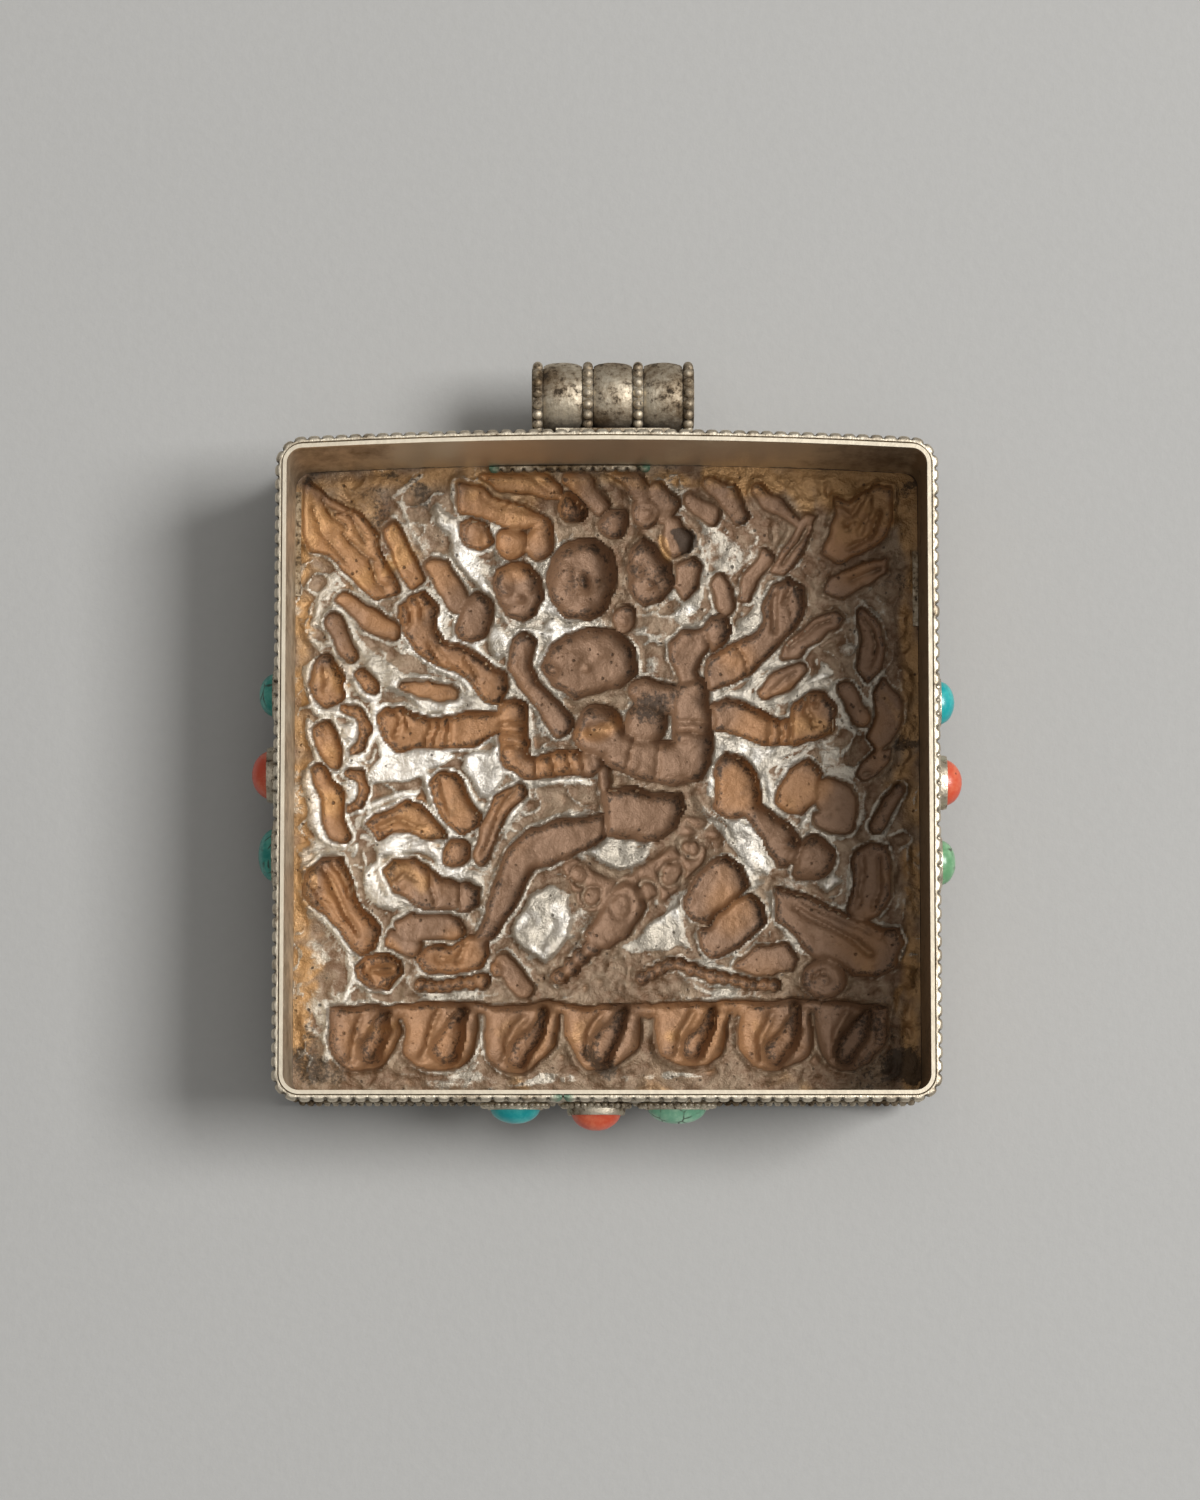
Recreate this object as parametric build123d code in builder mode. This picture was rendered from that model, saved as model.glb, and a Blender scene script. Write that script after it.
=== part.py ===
"""An amulet box worn on a cord: a silver case open at the back, its front a relief hammered out of sheet.

The box lies on its face, as it does on a bench, with the open back up. X runs across the box, Y towards the
cord tube, Z from the face of the relief to the back rim. The origin is under the middle of the whole piece.
"""

import os
from math import atan2, cos, degrees, pi, sin

from build123d import *

# Case band: bent silver strip with rounded corners, its top side pulled outwards by the cord
CASE_WIDTH = 84.0
CASE_HEIGHT = 84.0
CASE_DEPTH = 21.0
WALL = 0.5
CORNER_RADIUS = 2.6
TOP_BOW = 1.2

# Wires soldered round the outside of the band
RIM_WIRE = 1.0
RIM_WIRE_TALL = 1.3
BEAD_PITCH = 1.78
BEAD_NOTCH = 0.55
BEAD_NOTCH_WIDE = 0.8
RIM_JOINT_X = -5.5
RIM_JOINT_GAP = 0.3
TWIST_WIRE = 0.7
FRONT_WIRE = 0.9
FRONT_WIRE_TALL = 1.1

# Relief panel: sheet, hammered outwards from the back
SHEET = 0.5
RELIEF = 4.4
PICTURE_WIDTH = 84.0
PICTURE_HEIGHT = 84.0
OVERCUT = 0.5
FLAT = 1e-9
EDGE_SHARE = 0.6
EDGE_INSET = 0.2
CROWN_INSET = 0.65
STROKE_DEPTH = 1.1
END_REACH = 0.75
END_BLUNT = 0.45
SMALL_FORM = 2.2
BOSS_SIDES = 10
LARGE_BOSS = 3.0
SMALL_BOSS_SIDES = 6
PETAL_WIDE = 8.6
PETAL_TOP = -30.6
PETAL_LOW = -38.4
PETAL_DEPTH = 1.6
PETAL_SIDES = 4
PETAL_DROP = 4.0
PETAL_DROP_RADIUS = 2.7

# Beaded strip and holding strips soldered into the corner between band and panel
STRIP_WIDE = 1.0
STRIP_TALL = 0.9
STRIP_LEFT = -15.7
STRIP_RIGHT = 5.8
HOLDER_WIDE = 0.7
HOLDER_TALL = 0.6
HOLDER_LEFT_LOW = 25.0
HOLDER_LEFT_HIGH = 39.0
HOLDER_RIGHT_LOW = 21.0
HOLDER_RIGHT_HIGH = 31.0

# Cord tube
BAIL_X = 0.8
BORE_RADIUS = 3.2
TUBE_WALL = 0.7
BARREL_LONG = 5.1
BARREL_END_RADIUS = 4.35
BARREL_RADIUS = 4.8
BARREL_SHOULDER = 1.3
BARREL_SIDES = 18
RING_LONG = 1.5
RING_RADIUS = 5.0
RING_BEADS = 18
RING_NOTCH = 0.5
FOOT_GAP = 1.9
FOOT_LONG = 15.0
FOOT_TALL = 5.0
SEAT_FIT = 0.02

# Stones on the left, right and bottom sides
STONE_PITCH = 10.5
LEFT_SHIFT = 0.0
RIGHT_SHIFT = -1.0
BOTTOM_SHIFT = -1.4
PLATE_LONG = 33.5
PLATE_TALL = 9.0
PLATE_POINT = 5.0
PLATE = 0.7
PLATE_DRAFT = 45.0
STONE_FIT = 0.05
BEZEL_WALL = 0.35
BEZEL_GRIP = 0.5
COLLAR = 0.85
COLLAR_TALL = 0.9
COLLAR_BEADS = 10
OVAL_SIDES = 12
DOME = [(0.92, 0.45), (0.7, 0.8), (0.35, 1.0)]
COLLAR_NOTCH = 0.4
TURQUOISE_TALL = 4.6
TURQUOISE_GIRDLE = 0.5
CORAL_TALL = 5.0
CORAL_GIRDLE = 1.2

# Heights, from the face of the relief up
GROUND_FRONT = RELIEF
GROUND_BACK = GROUND_FRONT + SHEET
RIM = GROUND_BACK + CASE_DEPTH
MIDDLE = GROUND_BACK + CASE_DEPTH / 2

# Reach of the whole piece from the middle of the case
CORAL_REACH = PLATE + CORAL_GIRDLE + CORAL_TALL / 2
BAIL_REACH = TOP_BOW + FOOT_GAP + 2 * BARREL_RADIUS + (RING_RADIUS - BARREL_RADIUS)
CASE_Y = (CORAL_REACH - BAIL_REACH) / 2
BAIL_Y = CASE_Y + CASE_HEIGHT / 2 + TOP_BOW + FOOT_GAP + BARREL_RADIUS
TUBE_RADIUS = BORE_RADIUS + TUBE_WALL
BAIL_LONG = 3 * BARREL_LONG + 4 * RING_LONG


def case_plane(height):
    """The plan of the case at this height."""
    return Plane((0, CASE_Y, height))


def case_outline(grow):
    """The plan of the band's outside, grown by this much: straight sides, a bowed top, round corners."""
    half_w = CASE_WIDTH / 2 + grow
    half_h = CASE_HEIGHT / 2 + grow
    with BuildSketch() as plan:
        with BuildLine():
            Polyline((-half_w, half_h), (-half_w, -half_h), (half_w, -half_h), (half_w, half_h))
            ThreePointArc((half_w, half_h), (0, half_h + TOP_BOW), (-half_w, half_h))
        make_face()
        fillet(plan.vertices(), CORNER_RADIUS + grow)
    return plan.sketch


def places_along(wire, count):
    """Places spaced evenly along a wire of a plan, each turned to lie along it."""
    places = []
    for i in range(count):
        share = (i + 0.5) / count
        point = wire.position_at(share)
        run = wire.tangent_at(share)
        places.append(Location((point.X, point.Y, 0), (0, 0, degrees(atan2(run.Y, run.X)))))
    return places


def beaded_edge(wire, beads, notch):
    """Points round a wire of a plan, cut into beads by notches."""
    points = []
    for i in range(2 * beads):
        point = wire.position_at(i / (2 * beads))
        run = wire.tangent_at(i / (2 * beads))
        inward = Vector(-run.Y, run.X) * notch
        points.append(point + inward if i % 2 else point)
    return [(point.X, point.Y) for point in points]


def notch_corners(wide, deep):
    """The diamond that parts one bead from the next."""
    return [(-wide / 2, 0), (0, -deep), (wide / 2, 0), (0, deep)]


def patch(corners):
    """The faces over four corners: one if they lie flat, otherwise two halves."""
    a, b, c, d = corners
    if abs((b - a).cross(c - a).dot(d - a)) < FLAT:
        return [Face(Wire.make_polygon(corners))]
    return [Face(Wire.make_polygon([a, b, c])), Face(Wire.make_polygon([a, c, d]))]


def ringed(rings):
    """A closed body through rings of points, one above another, flat at both ends."""
    faces = [Face(Wire.make_polygon(rings[0])), Face(Wire.make_polygon(rings[-1]))]
    for upper, lower in zip(rings, rings[1:]):
        for i in range(len(upper)):
            faces = faces + patch([upper[i - 1], upper[i], lower[i], lower[i - 1]])
    return Solid(Shell(faces))


WALL_OUTSIDE = case_outline(0)
WALL_INSIDE = case_outline(-WALL)
os.makedirs("parts", exist_ok=True)


def keep(builder, name):
    """Labels a finished piece and writes it out."""
    builder.part.label = name
    export_step(builder.part, f"parts/{name}.step")


# Case band
with BuildPart() as case_wall:
    with BuildSketch(case_plane(GROUND_BACK)):
        add(WALL_OUTSIDE)
        add(WALL_INSIDE, mode=Mode.SUBTRACT)
    extrude(amount=CASE_DEPTH)
keep(case_wall, "case_wall")

# Rim wire, its beads parted by notches, its two ends meeting at the bottom
RIM_EDGE = case_outline(RIM_WIRE).face().outer_wire()
RIM_BEADS = round(RIM_EDGE.length / BEAD_PITCH)
with BuildPart() as rim_bead_wire:
    with BuildSketch(case_plane(RIM - RIM_WIRE_TALL)):
        Polygon(*beaded_edge(RIM_EDGE, RIM_BEADS, BEAD_NOTCH), align=None)
        add(WALL_OUTSIDE, mode=Mode.SUBTRACT)
        with Locations((RIM_JOINT_X, -CASE_HEIGHT / 2 - RIM_WIRE / 2)):
            Rectangle(RIM_JOINT_GAP, 2 * RIM_WIRE, mode=Mode.SUBTRACT)
    extrude(amount=RIM_WIRE_TALL)
keep(rim_bead_wire, "rim_bead_wire")


def band_wire(width, tall, foot):
    """A plain wire soldered round the band."""
    outside = case_outline(width)
    with BuildPart() as wire:
        with BuildSketch(case_plane(foot)):
            add(outside)
            add(WALL_OUTSIDE, mode=Mode.SUBTRACT)
        extrude(amount=tall)
    return wire


twisted_wire = band_wire(TWIST_WIRE, TWIST_WIRE, RIM - RIM_WIRE_TALL - TWIST_WIRE)
keep(twisted_wire, "twisted_wire")
front_wire = band_wire(FRONT_WIRE, FRONT_WIRE_TALL, GROUND_FRONT)
keep(front_wire, "front_wire")

# The picture hammered into the panel, measured from its middle. A stroke is one limb, lock or flame: the points
# along it, each as place across, place up and half width
HEADS = [
    [(5.4, 29.5, 3.1), (5.7, 26.0, 3.0)],
    [(-11.9, 27.3, 2.6), (-11.8, 24.4, 2.7)],
    [(-5.0, 16.1, 3.7), (-0.6, 17.0, 3.5)],
    [(10.7, 28.8, 1.4), (10.8, 26.4, 1.4)],
]
HAIR = [
    [(-19.0, 37.6, 1.2), (-13.6, 36.9, 1.4), (-9.6, 35.0, 1.2)],
    [(-17.0, 40.0, 1.0), (-11.6, 39.9, 1.2), (-7.2, 37.5, 1.2)],
    [(-4.6, 39.9, 1.2), (-1.8, 39.2, 1.3), (-0.2, 37.6, 1.2)],
    [(2.0, 39.9, 1.0), (3.9, 39.1, 1.0), (4.8, 38.1, 0.9)],
]
LEFT_ARMS = [
    [(-14.6, 12.9, 2.2), (-20.0, 16.3, 2.1), (-24.2, 18.9, 1.9), (-25.4, 21.0, 2.1), (-26.0, 23.6, 2.0)],
    [(-16.2, 8.2, 1.8), (-19.8, 7.8, 1.8), (-24.0, 7.2, 1.7), (-28.2, 8.6, 1.9)],
    [(-18.2, -14.5, 1.6), (-22.4, -13.9, 1.6), (-25.2, -12.8, 1.9), (-27.4, -12.1, 2.0)],
    [(-21.5, 0.0, 1.9), (-19.2, -5.6, 1.8)],
    [(-30.8, -6.1, 1.4), (-26.8, -4.3, 1.5), (-23.2, -6.6, 1.3)],
]
RIGHT_ARMS = [
    [(15.0, 15.3, 2.1), (21.2, 19.0, 1.9), (23.6, 21.6, 2.0), (24.6, 25.2, 2.0)],
    [(16.0, 8.9, 2.1), (22.4, 7.4, 1.9), (25.6, 7.7, 1.9), (28.2, 9.8, 1.9)],
    [(16.6, 0.6, 3.1), (17.5, -1.5, 3.0)],
    [(20.9, -5.1, 1.4), (22.4, -6.6, 1.4), (23.5, -8.4, 1.3)],
    [(25.4, 0.3, 1.9), (25.4, -2.6, 1.9)],
]
MIDDLE_ARMS = [
    [(-11.5, 18.0, 1.5), (-11.2, 14.6, 1.4), (-9.4, 11.2, 1.4), (-7.2, 8.6, 1.5)],
    [(-12.3, 6.4, 1.4), (-11.6, 3.4, 1.4), (-8.6, 2.5, 1.5), (-3.2, 2.7, 1.6)],
    [(8.6, 2.5, 2.0), (1.8, 4.0, 2.1)],
    [(11.5, 11.6, 1.9), (11.6, 5.8, 1.9)],
    [(9.8, 18.6, 2.1), (10.8, 15.2, 1.8)],
    [(5.0, 12.0, 1.2), (8.2, 11.5, 1.2)],
]
BANNERS = [
    [(-38.6, 39.0, 1.4), (-34.0, 32.8, 2.6), (-29.4, 26.8, 1.9)],
    [(-38.2, 30.2, 1.1), (-31.6, 25.2, 1.2)],
    [(-29.2, 34.4, 1.1), (-25.8, 27.8, 1.1)],
    [(-17.5, 22.9, 1.9), (-17.5, 21.3, 1.9)],
    [(37.4, 38.4, 1.6), (33.6, 34.4, 2.8), (30.2, 30.8, 2.2)],
    [(36.6, 29.2, 1.1), (31.6, 26.0, 1.2)],
    [(20.4, 29.4, 0.9), (17.8, 25.2, 0.9)],
    [(22.6, 29.2, 0.9), (27.0, 34.4, 0.9)],
    [(26.4, 15.8, 1.1), (22.4, 12.4, 1.2)],
]
FLAMES = [
    [(-37.2, 16.4, 1.4), (-36.7, 12.6, 1.7)],
    [(-37.8, 6.4, 1.2), (-36.4, 2.4, 1.0)],
    [(-37.6, -1.4, 1.1), (-35.8, -7.4, 1.1)],
    [(-37.2, -11.4, 2.4), (-34.2, -16.2, 2.4), (-31.8, -20.0, 2.1)],
    [(-31.0, -25.0, 2.0), (-29.2, -25.0, 2.0)],
    [(34.8, 22.4, 1.5), (35.2, 15.6, 1.5)],
    [(36.5, 11.8, 1.5), (37.0, 6.6, 1.5)],
    [(35.4, -9.4, 2.1), (34.8, -15.2, 2.1)],
]
LEGS = [
    [(-2.0, -5.8, 2.2), (-8.6, -8.0, 2.3), (-13.0, -12.4, 2.2), (-16.3, -19.0, 1.9)],
    [(-17.6, -22.2, 1.5), (-23.6, -23.6, 1.4)],
    [(-16.2, -26.6, 0.9), (-24.2, -26.8, 0.9)],
    [(-26.0, -19.4, 1.2), (-21.6, -18.6, 1.3)],
    [(2.2, -16.4, 1.8), (-1.4, -20.8, 1.5), (-6.0, -24.8, 1.3)],
    [(12.8, -16.4, 2.1), (16.6, -12.2, 2.3)],
    [(14.2, -21.4, 1.8), (18.8, -17.2, 1.9)],
    [(24.0, -16.2, 2.6), (35.2, -21.6, 2.9)],
    [(20.6, -22.4, 1.3), (23.8, -23.2, 1.4)],
    [(28.2, -26.0, 1.9), (29.8, -26.2, 1.9)],
    [(4.8, -25.6, 0.8), (8.8, -24.3, 0.8), (12.4, -25.6, 0.8), (22.2, -26.7, 0.8)],
]
# The spotted skin round the hips, shallow: its points as a stroke, then its depth
SKIN = [(-2.2, -13.4, 2.2), (9.6, -10.2, 2.4)]
SKIN_DEPTH = 1.0
# Round bosses: place across, place up, radius, depth
BOSSES = [
    (-3.4, 27.0, 5.1, RELIEF),
    (4.9, -4.0, 3.9, 3.4),
    (-17.7, 33.2, 2.0, 1.8),
    (-13.2, 32.3, 1.7, 1.6),
    (-4.7, 35.8, 1.3, 1.6),
    (0.6, 34.4, 1.4, 1.4),
    (-1.0, 7.5, 2.1, 2.0),
    (5.4, 7.9, 2.0, 2.0),
    (14.5, 20.3, 1.8, 1.8),
    (-20.1, -9.6, 1.6, 1.6),
    (27.4, -9.9, 2.3, 2.2),
]
# Lotus petals along the foot of the picture: the middle of each, and how far its hollow leans
PETALS = [(-32.4, 0.6), (-22.0, 0.8), (-11.5, 0.8), (-0.5, 0.5), (11.0, 0.6), (22.0, 0.4), (32.4, 0.2)]

ACROSS = CASE_WIDTH / PICTURE_WIDTH
UP = CASE_HEIGHT / PICTURE_HEIGHT
ROUND = min(ACROSS, UP)


def stroke_outline(points, grow):
    """The plan of a stroke, pointed if it is slender and blunt if not, grown by this much all round."""
    places = [Vector(across * ACROSS, up * UP) for across, up, half in points]
    halves = [half * ROUND + grow for across, up, half in points]
    runs = [(after - before).normalized() for before, after in zip(places, places[1:])]
    left, right = [], []
    for i, (place, half) in enumerate(zip(places, halves)):
        before = runs[max(i - 1, 0)]
        after = runs[min(i, len(runs) - 1)]
        mean = (before + after).normalized()
        beside = Vector(-mean.Y, mean.X) * (half / mean.dot(before))
        left.append(place + beside)
        right.append(place - beside)
    nose = places[-1] + runs[-1] * halves[-1] * END_REACH
    tail = places[0] - runs[0] * halves[0] * END_REACH
    if min(half for across, up, half in points) * ROUND <= SMALL_FORM:
        return left + [nose] + right[::-1] + [tail]
    blunt_nose = [nose + (side - places[-1]) * END_BLUNT for side in (left[-1], right[-1])]
    blunt_tail = [tail + (side - places[0]) * END_BLUNT for side in (right[0], left[0])]
    return left + blunt_nose + right[::-1] + blunt_tail


def boss_outline(form, grow):
    """The plan of a round boss, grown by this much."""
    across, up, radius, depth = form
    middle = Vector(across * ACROSS, up * UP)
    spoke = Vector(radius * ROUND + grow, 0)
    sides = BOSS_SIDES if radius > LARGE_BOSS else SMALL_BOSS_SIDES
    return [middle + spoke.rotate(Axis.Z, 360 * (i + 0.5) / sides) for i in range(sides)]


def petal_outline(middle, grow):
    """The plan of a lotus petal, flat at the top and round at the foot, grown by this much."""
    half = PETAL_WIDE * ROUND / 2 + grow
    turn = Vector(middle * ACROSS, PETAL_LOW * UP + PETAL_WIDE * ROUND / 2)
    top = PETAL_TOP * UP + grow - turn.Y
    spoke = Vector(-half, 0)
    rounded = [turn + spoke.rotate(Axis.Z, 180 * i / PETAL_SIDES) for i in range(PETAL_SIDES + 1)]
    return [turn + Vector(half, top), turn + Vector(-half, top)] + rounded


def pushed_out(outline, form, narrow, depth, grow):
    """A plan pushed out of the sheet, steep at the edge and turning in to a flat crown.

    Without grow it is the hollow; with grow it is the sheet round the hollow, that much thicker.
    """
    levels = [(OVERCUT, 0.0), (-depth - grow, CROWN_INSET * narrow)]
    if narrow > SMALL_FORM:
        levels.insert(1, (-EDGE_SHARE * depth - grow, EDGE_INSET * narrow))
    rings = []
    for height, inset in levels:
        flat = outline(form, grow - inset)
        rings.append([Vector(point.X, point.Y + CASE_Y, GROUND_BACK + height) for point in flat])
    return ringed(rings)


def stroke(points, grow, depth=None):
    """A stroke as a hollow or, with grow, as the sheet round it."""
    narrow = min(half for across, up, half in points) * ROUND
    return pushed_out(stroke_outline, points, narrow, depth or min(STROKE_DEPTH * narrow, RELIEF), grow)


def boss(form, grow):
    """A round boss as a hollow or, with grow, as the sheet round it."""
    return pushed_out(boss_outline, form, form[2] * ROUND, form[3], grow)


def petal(middle, grow):
    """A lotus petal as a hollow or, with grow, as the sheet round it."""
    return pushed_out(petal_outline, middle, PETAL_DEPTH, PETAL_DEPTH, grow)


STROKE_GROUPS = [HEADS, HAIR, LEFT_ARMS, RIGHT_ARMS, MIDDLE_ARMS, BANNERS, FLAMES, LEGS]


def gather(forms):
    """Joins the forms of one group of the picture."""
    with BuildPart() as group:
        for form in forms:
            add(form, clean=False)
    return group.part


def picture(grow):
    """The groups of the picture, as hollows or, with grow, as the sheet round them."""
    groups = [gather([stroke(points, grow) for points in strokes]) for strokes in STROKE_GROUPS]
    groups.append(stroke(SKIN, grow, SKIN_DEPTH))
    groups.append(gather([boss(form, grow) for form in BOSSES]))
    groups.append(gather([petal(middle, grow) for middle, lean in PETALS]))
    drops = [(middle + lean, PETAL_TOP - PETAL_DROP, PETAL_DROP_RADIUS, RELIEF) for middle, lean in PETALS]
    groups.append(gather([boss(form, grow) for form in drops]))
    return groups


SHEET_FORMS = picture(SHEET)
HOLLOWS = picture(0)
with BuildPart() as front_panel:
    with BuildSketch(case_plane(GROUND_FRONT)):
        add(WALL_OUTSIDE)
    extrude(amount=SHEET)
    for group in SHEET_FORMS:
        add(group, clean=False)
    with Locations((0, CASE_Y, GROUND_BACK)):
        Box(2 * CASE_WIDTH, 2 * CASE_HEIGHT, CASE_DEPTH, align=(Align.CENTER, Align.CENTER, Align.MIN),
            mode=Mode.SUBTRACT)
    for group in HOLLOWS:
        add(group, mode=Mode.SUBTRACT, clean=False)
keep(front_panel, "front_panel")


def corner_strip(width, tall, low_corner, high_corner):
    """A strip in the corner of band and panel, bent to the band, between two corners of the plan."""
    inside = case_outline(-WALL - width)
    size_x = high_corner[0] - low_corner[0]
    size_y = high_corner[1] - low_corner[1]
    with BuildPart() as strip:
        with BuildSketch(case_plane(GROUND_BACK)):
            add(WALL_INSIDE)
            add(inside, mode=Mode.SUBTRACT)
            with Locations(low_corner):
                Rectangle(size_x, size_y, align=(Align.MIN, Align.MIN), mode=Mode.INTERSECT)
        extrude(amount=tall)
    return strip.part


# Beaded strip at the foot of the top side
STRIP_FORM = corner_strip(
    STRIP_WIDE,
    STRIP_TALL,
    (STRIP_LEFT, 0),
    (STRIP_RIGHT, CASE_HEIGHT),
)
STRIP_EDGE = case_outline(-WALL - STRIP_WIDE).face().outer_wire()
with BuildPart() as inner_bead_strip:
    add(STRIP_FORM)
    with BuildSketch(case_plane(GROUND_BACK)):
        with Locations(*places_along(STRIP_EDGE, round(STRIP_EDGE.length / BEAD_PITCH))):
            Polygon(*notch_corners(BEAD_NOTCH_WIDE, BEAD_NOTCH), align=None)
    extrude(amount=STRIP_TALL, mode=Mode.SUBTRACT)
keep(inner_bead_strip, "inner_bead_strip")

# Holding strips at the foot of the left and right sides
with BuildPart() as holding_strip_left:
    add(corner_strip(HOLDER_WIDE, HOLDER_TALL, (-CASE_WIDTH, HOLDER_LEFT_LOW), (0, HOLDER_LEFT_HIGH)))
keep(holding_strip_left, "holding_strip_left")

with BuildPart() as holding_strip_right:
    add(corner_strip(HOLDER_WIDE, HOLDER_TALL, (0, HOLDER_RIGHT_LOW), (CASE_WIDTH, HOLDER_RIGHT_HIGH)))
keep(holding_strip_right, "holding_strip_right")


def oval(long, tall, sides):
    """Points round an oval of this length and height, the first of them at the end of its long axis."""
    return [(long / 2 * cos(2 * pi * i / sides), tall / 2 * sin(2 * pi * i / sides)) for i in range(sides)]


def beaded_ring(long, tall, notch, beads):
    """Points round an oval cut into beads by notches."""
    outer = oval(long, tall, 2 * beads)
    inner = oval(long - 2 * notch, tall - 2 * notch, 2 * beads)
    return [inner[i] if i % 2 else outer[i] for i in range(2 * beads)]


def bail_plane(along):
    """A cut across the cord tube, this far along it from its middle."""
    return Plane((BAIL_X + along, BAIL_Y, MIDDLE), x_dir=(0, 1, 0), z_dir=(1, 0, 0))


# Cord tube with beaded rings and swelling barrels threaded on it
with BuildPart() as bail_tube:
    with BuildSketch(bail_plane(-BAIL_LONG / 2)):
        Circle(TUBE_RADIUS)
        Circle(BORE_RADIUS, mode=Mode.SUBTRACT)
    extrude(amount=BAIL_LONG)
keep(bail_tube, "bail_tube")

STEP_ALONG = BARREL_LONG + RING_LONG
for i in range(4):
    start = -BAIL_LONG / 2 + i * STEP_ALONG
    with BuildPart() as ring:
        with BuildSketch(bail_plane(start)):
            Polygon(*beaded_ring(2 * RING_RADIUS, 2 * RING_RADIUS, RING_NOTCH, RING_BEADS), align=None)
            Circle(TUBE_RADIUS, mode=Mode.SUBTRACT)
        extrude(amount=RING_LONG)
    keep(ring, f"bail_ring_{i + 1}")

BARREL_STATIONS = [
    (0, BARREL_END_RADIUS),
    (BARREL_SHOULDER, BARREL_RADIUS),
    (BARREL_LONG - BARREL_SHOULDER, BARREL_RADIUS),
    (BARREL_LONG, BARREL_END_RADIUS),
]
for i, name in enumerate(["left", "middle", "right"]):
    start = -BAIL_LONG / 2 + RING_LONG + i * STEP_ALONG
    rings = []
    for along, radius in BARREL_STATIONS:
        round_points = oval(2 * radius, 2 * radius, BARREL_SIDES)
        rings.append([bail_plane(start + along).from_local_coords(Vector(x, y, 0)) for x, y in round_points])
    with BuildPart() as barrel:
        add(ringed(rings))
        with BuildSketch(bail_plane(start)):
            Circle(TUBE_RADIUS)
        extrude(amount=BARREL_LONG, mode=Mode.SUBTRACT)
    keep(barrel, f"bail_barrel_{name}")

# Foot that joins the cord tube to the bowed side of the case
with BuildPart() as bail_foot:
    with Locations((BAIL_X, BAIL_Y, MIDDLE)):
        Box(FOOT_LONG, BARREL_RADIUS + FOOT_GAP + TOP_BOW, FOOT_TALL,
            align=(Align.CENTER, Align.MAX, Align.CENTER))
    with BuildSketch(bail_plane(-FOOT_LONG)):
        Circle(RING_RADIUS + SEAT_FIT)
    extrude(amount=2 * FOOT_LONG, mode=Mode.SUBTRACT)
    with BuildSketch(case_plane(0)):
        add(WALL_OUTSIDE)
    extrude(amount=RIM, mode=Mode.SUBTRACT)
keep(bail_foot, "bail_foot")

# Stones by side: name, place along the side in pitches, length, height up the side, girdle
SIDES = {
    "left": Plane((-CASE_WIDTH / 2, CASE_Y + LEFT_SHIFT, MIDDLE), x_dir=(0, 1, 0), z_dir=(-1, 0, 0)),
    "right": Plane((CASE_WIDTH / 2, CASE_Y + RIGHT_SHIFT, MIDDLE), x_dir=(0, 1, 0), z_dir=(1, 0, 0)),
    "bottom": Plane((BOTTOM_SHIFT, CASE_Y - CASE_HEIGHT / 2, MIDDLE), x_dir=(1, 0, 0), z_dir=(0, -1, 0)),
}
STONES = {
    "left": [
        ("turquoise_left_upper", 1, 5.8, TURQUOISE_TALL, TURQUOISE_GIRDLE),
        ("coral_left", 0, 6.6, CORAL_TALL, CORAL_GIRDLE),
        ("turquoise_left_lower", -1, 7.0, TURQUOISE_TALL, TURQUOISE_GIRDLE),
    ],
    "right": [
        ("turquoise_right_upper", 1, 5.8, TURQUOISE_TALL, TURQUOISE_GIRDLE),
        ("coral_right", 0, 6.4, CORAL_TALL, CORAL_GIRDLE),
        ("turquoise_right_lower", -1, 6.0, TURQUOISE_TALL, TURQUOISE_GIRDLE),
    ],
    "bottom": [
        ("turquoise_bottom_left", -1, 6.6, TURQUOISE_TALL, TURQUOISE_GIRDLE),
        ("coral_bottom", 0, 6.8, CORAL_TALL, CORAL_GIRDLE),
        ("turquoise_bottom_right", 1, 7.8, TURQUOISE_TALL, TURQUOISE_GIRDLE),
    ],
}


def cabochon(seat, place, long, tall, girdle):
    """A domed stone on its straight girdle, at this place along its side."""
    rings = []
    for share, rise in [(1.0, 0.0), (1.0, girdle)] + [(wide, girdle + up * tall / 2) for wide, up in DOME]:
        edge = oval(long * share, tall * share, OVAL_SIDES)
        rings.append([seat.from_local_coords(Vector(x + place * STONE_PITCH, y, rise)) for x, y in edge])
    return ringed(rings)


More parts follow.
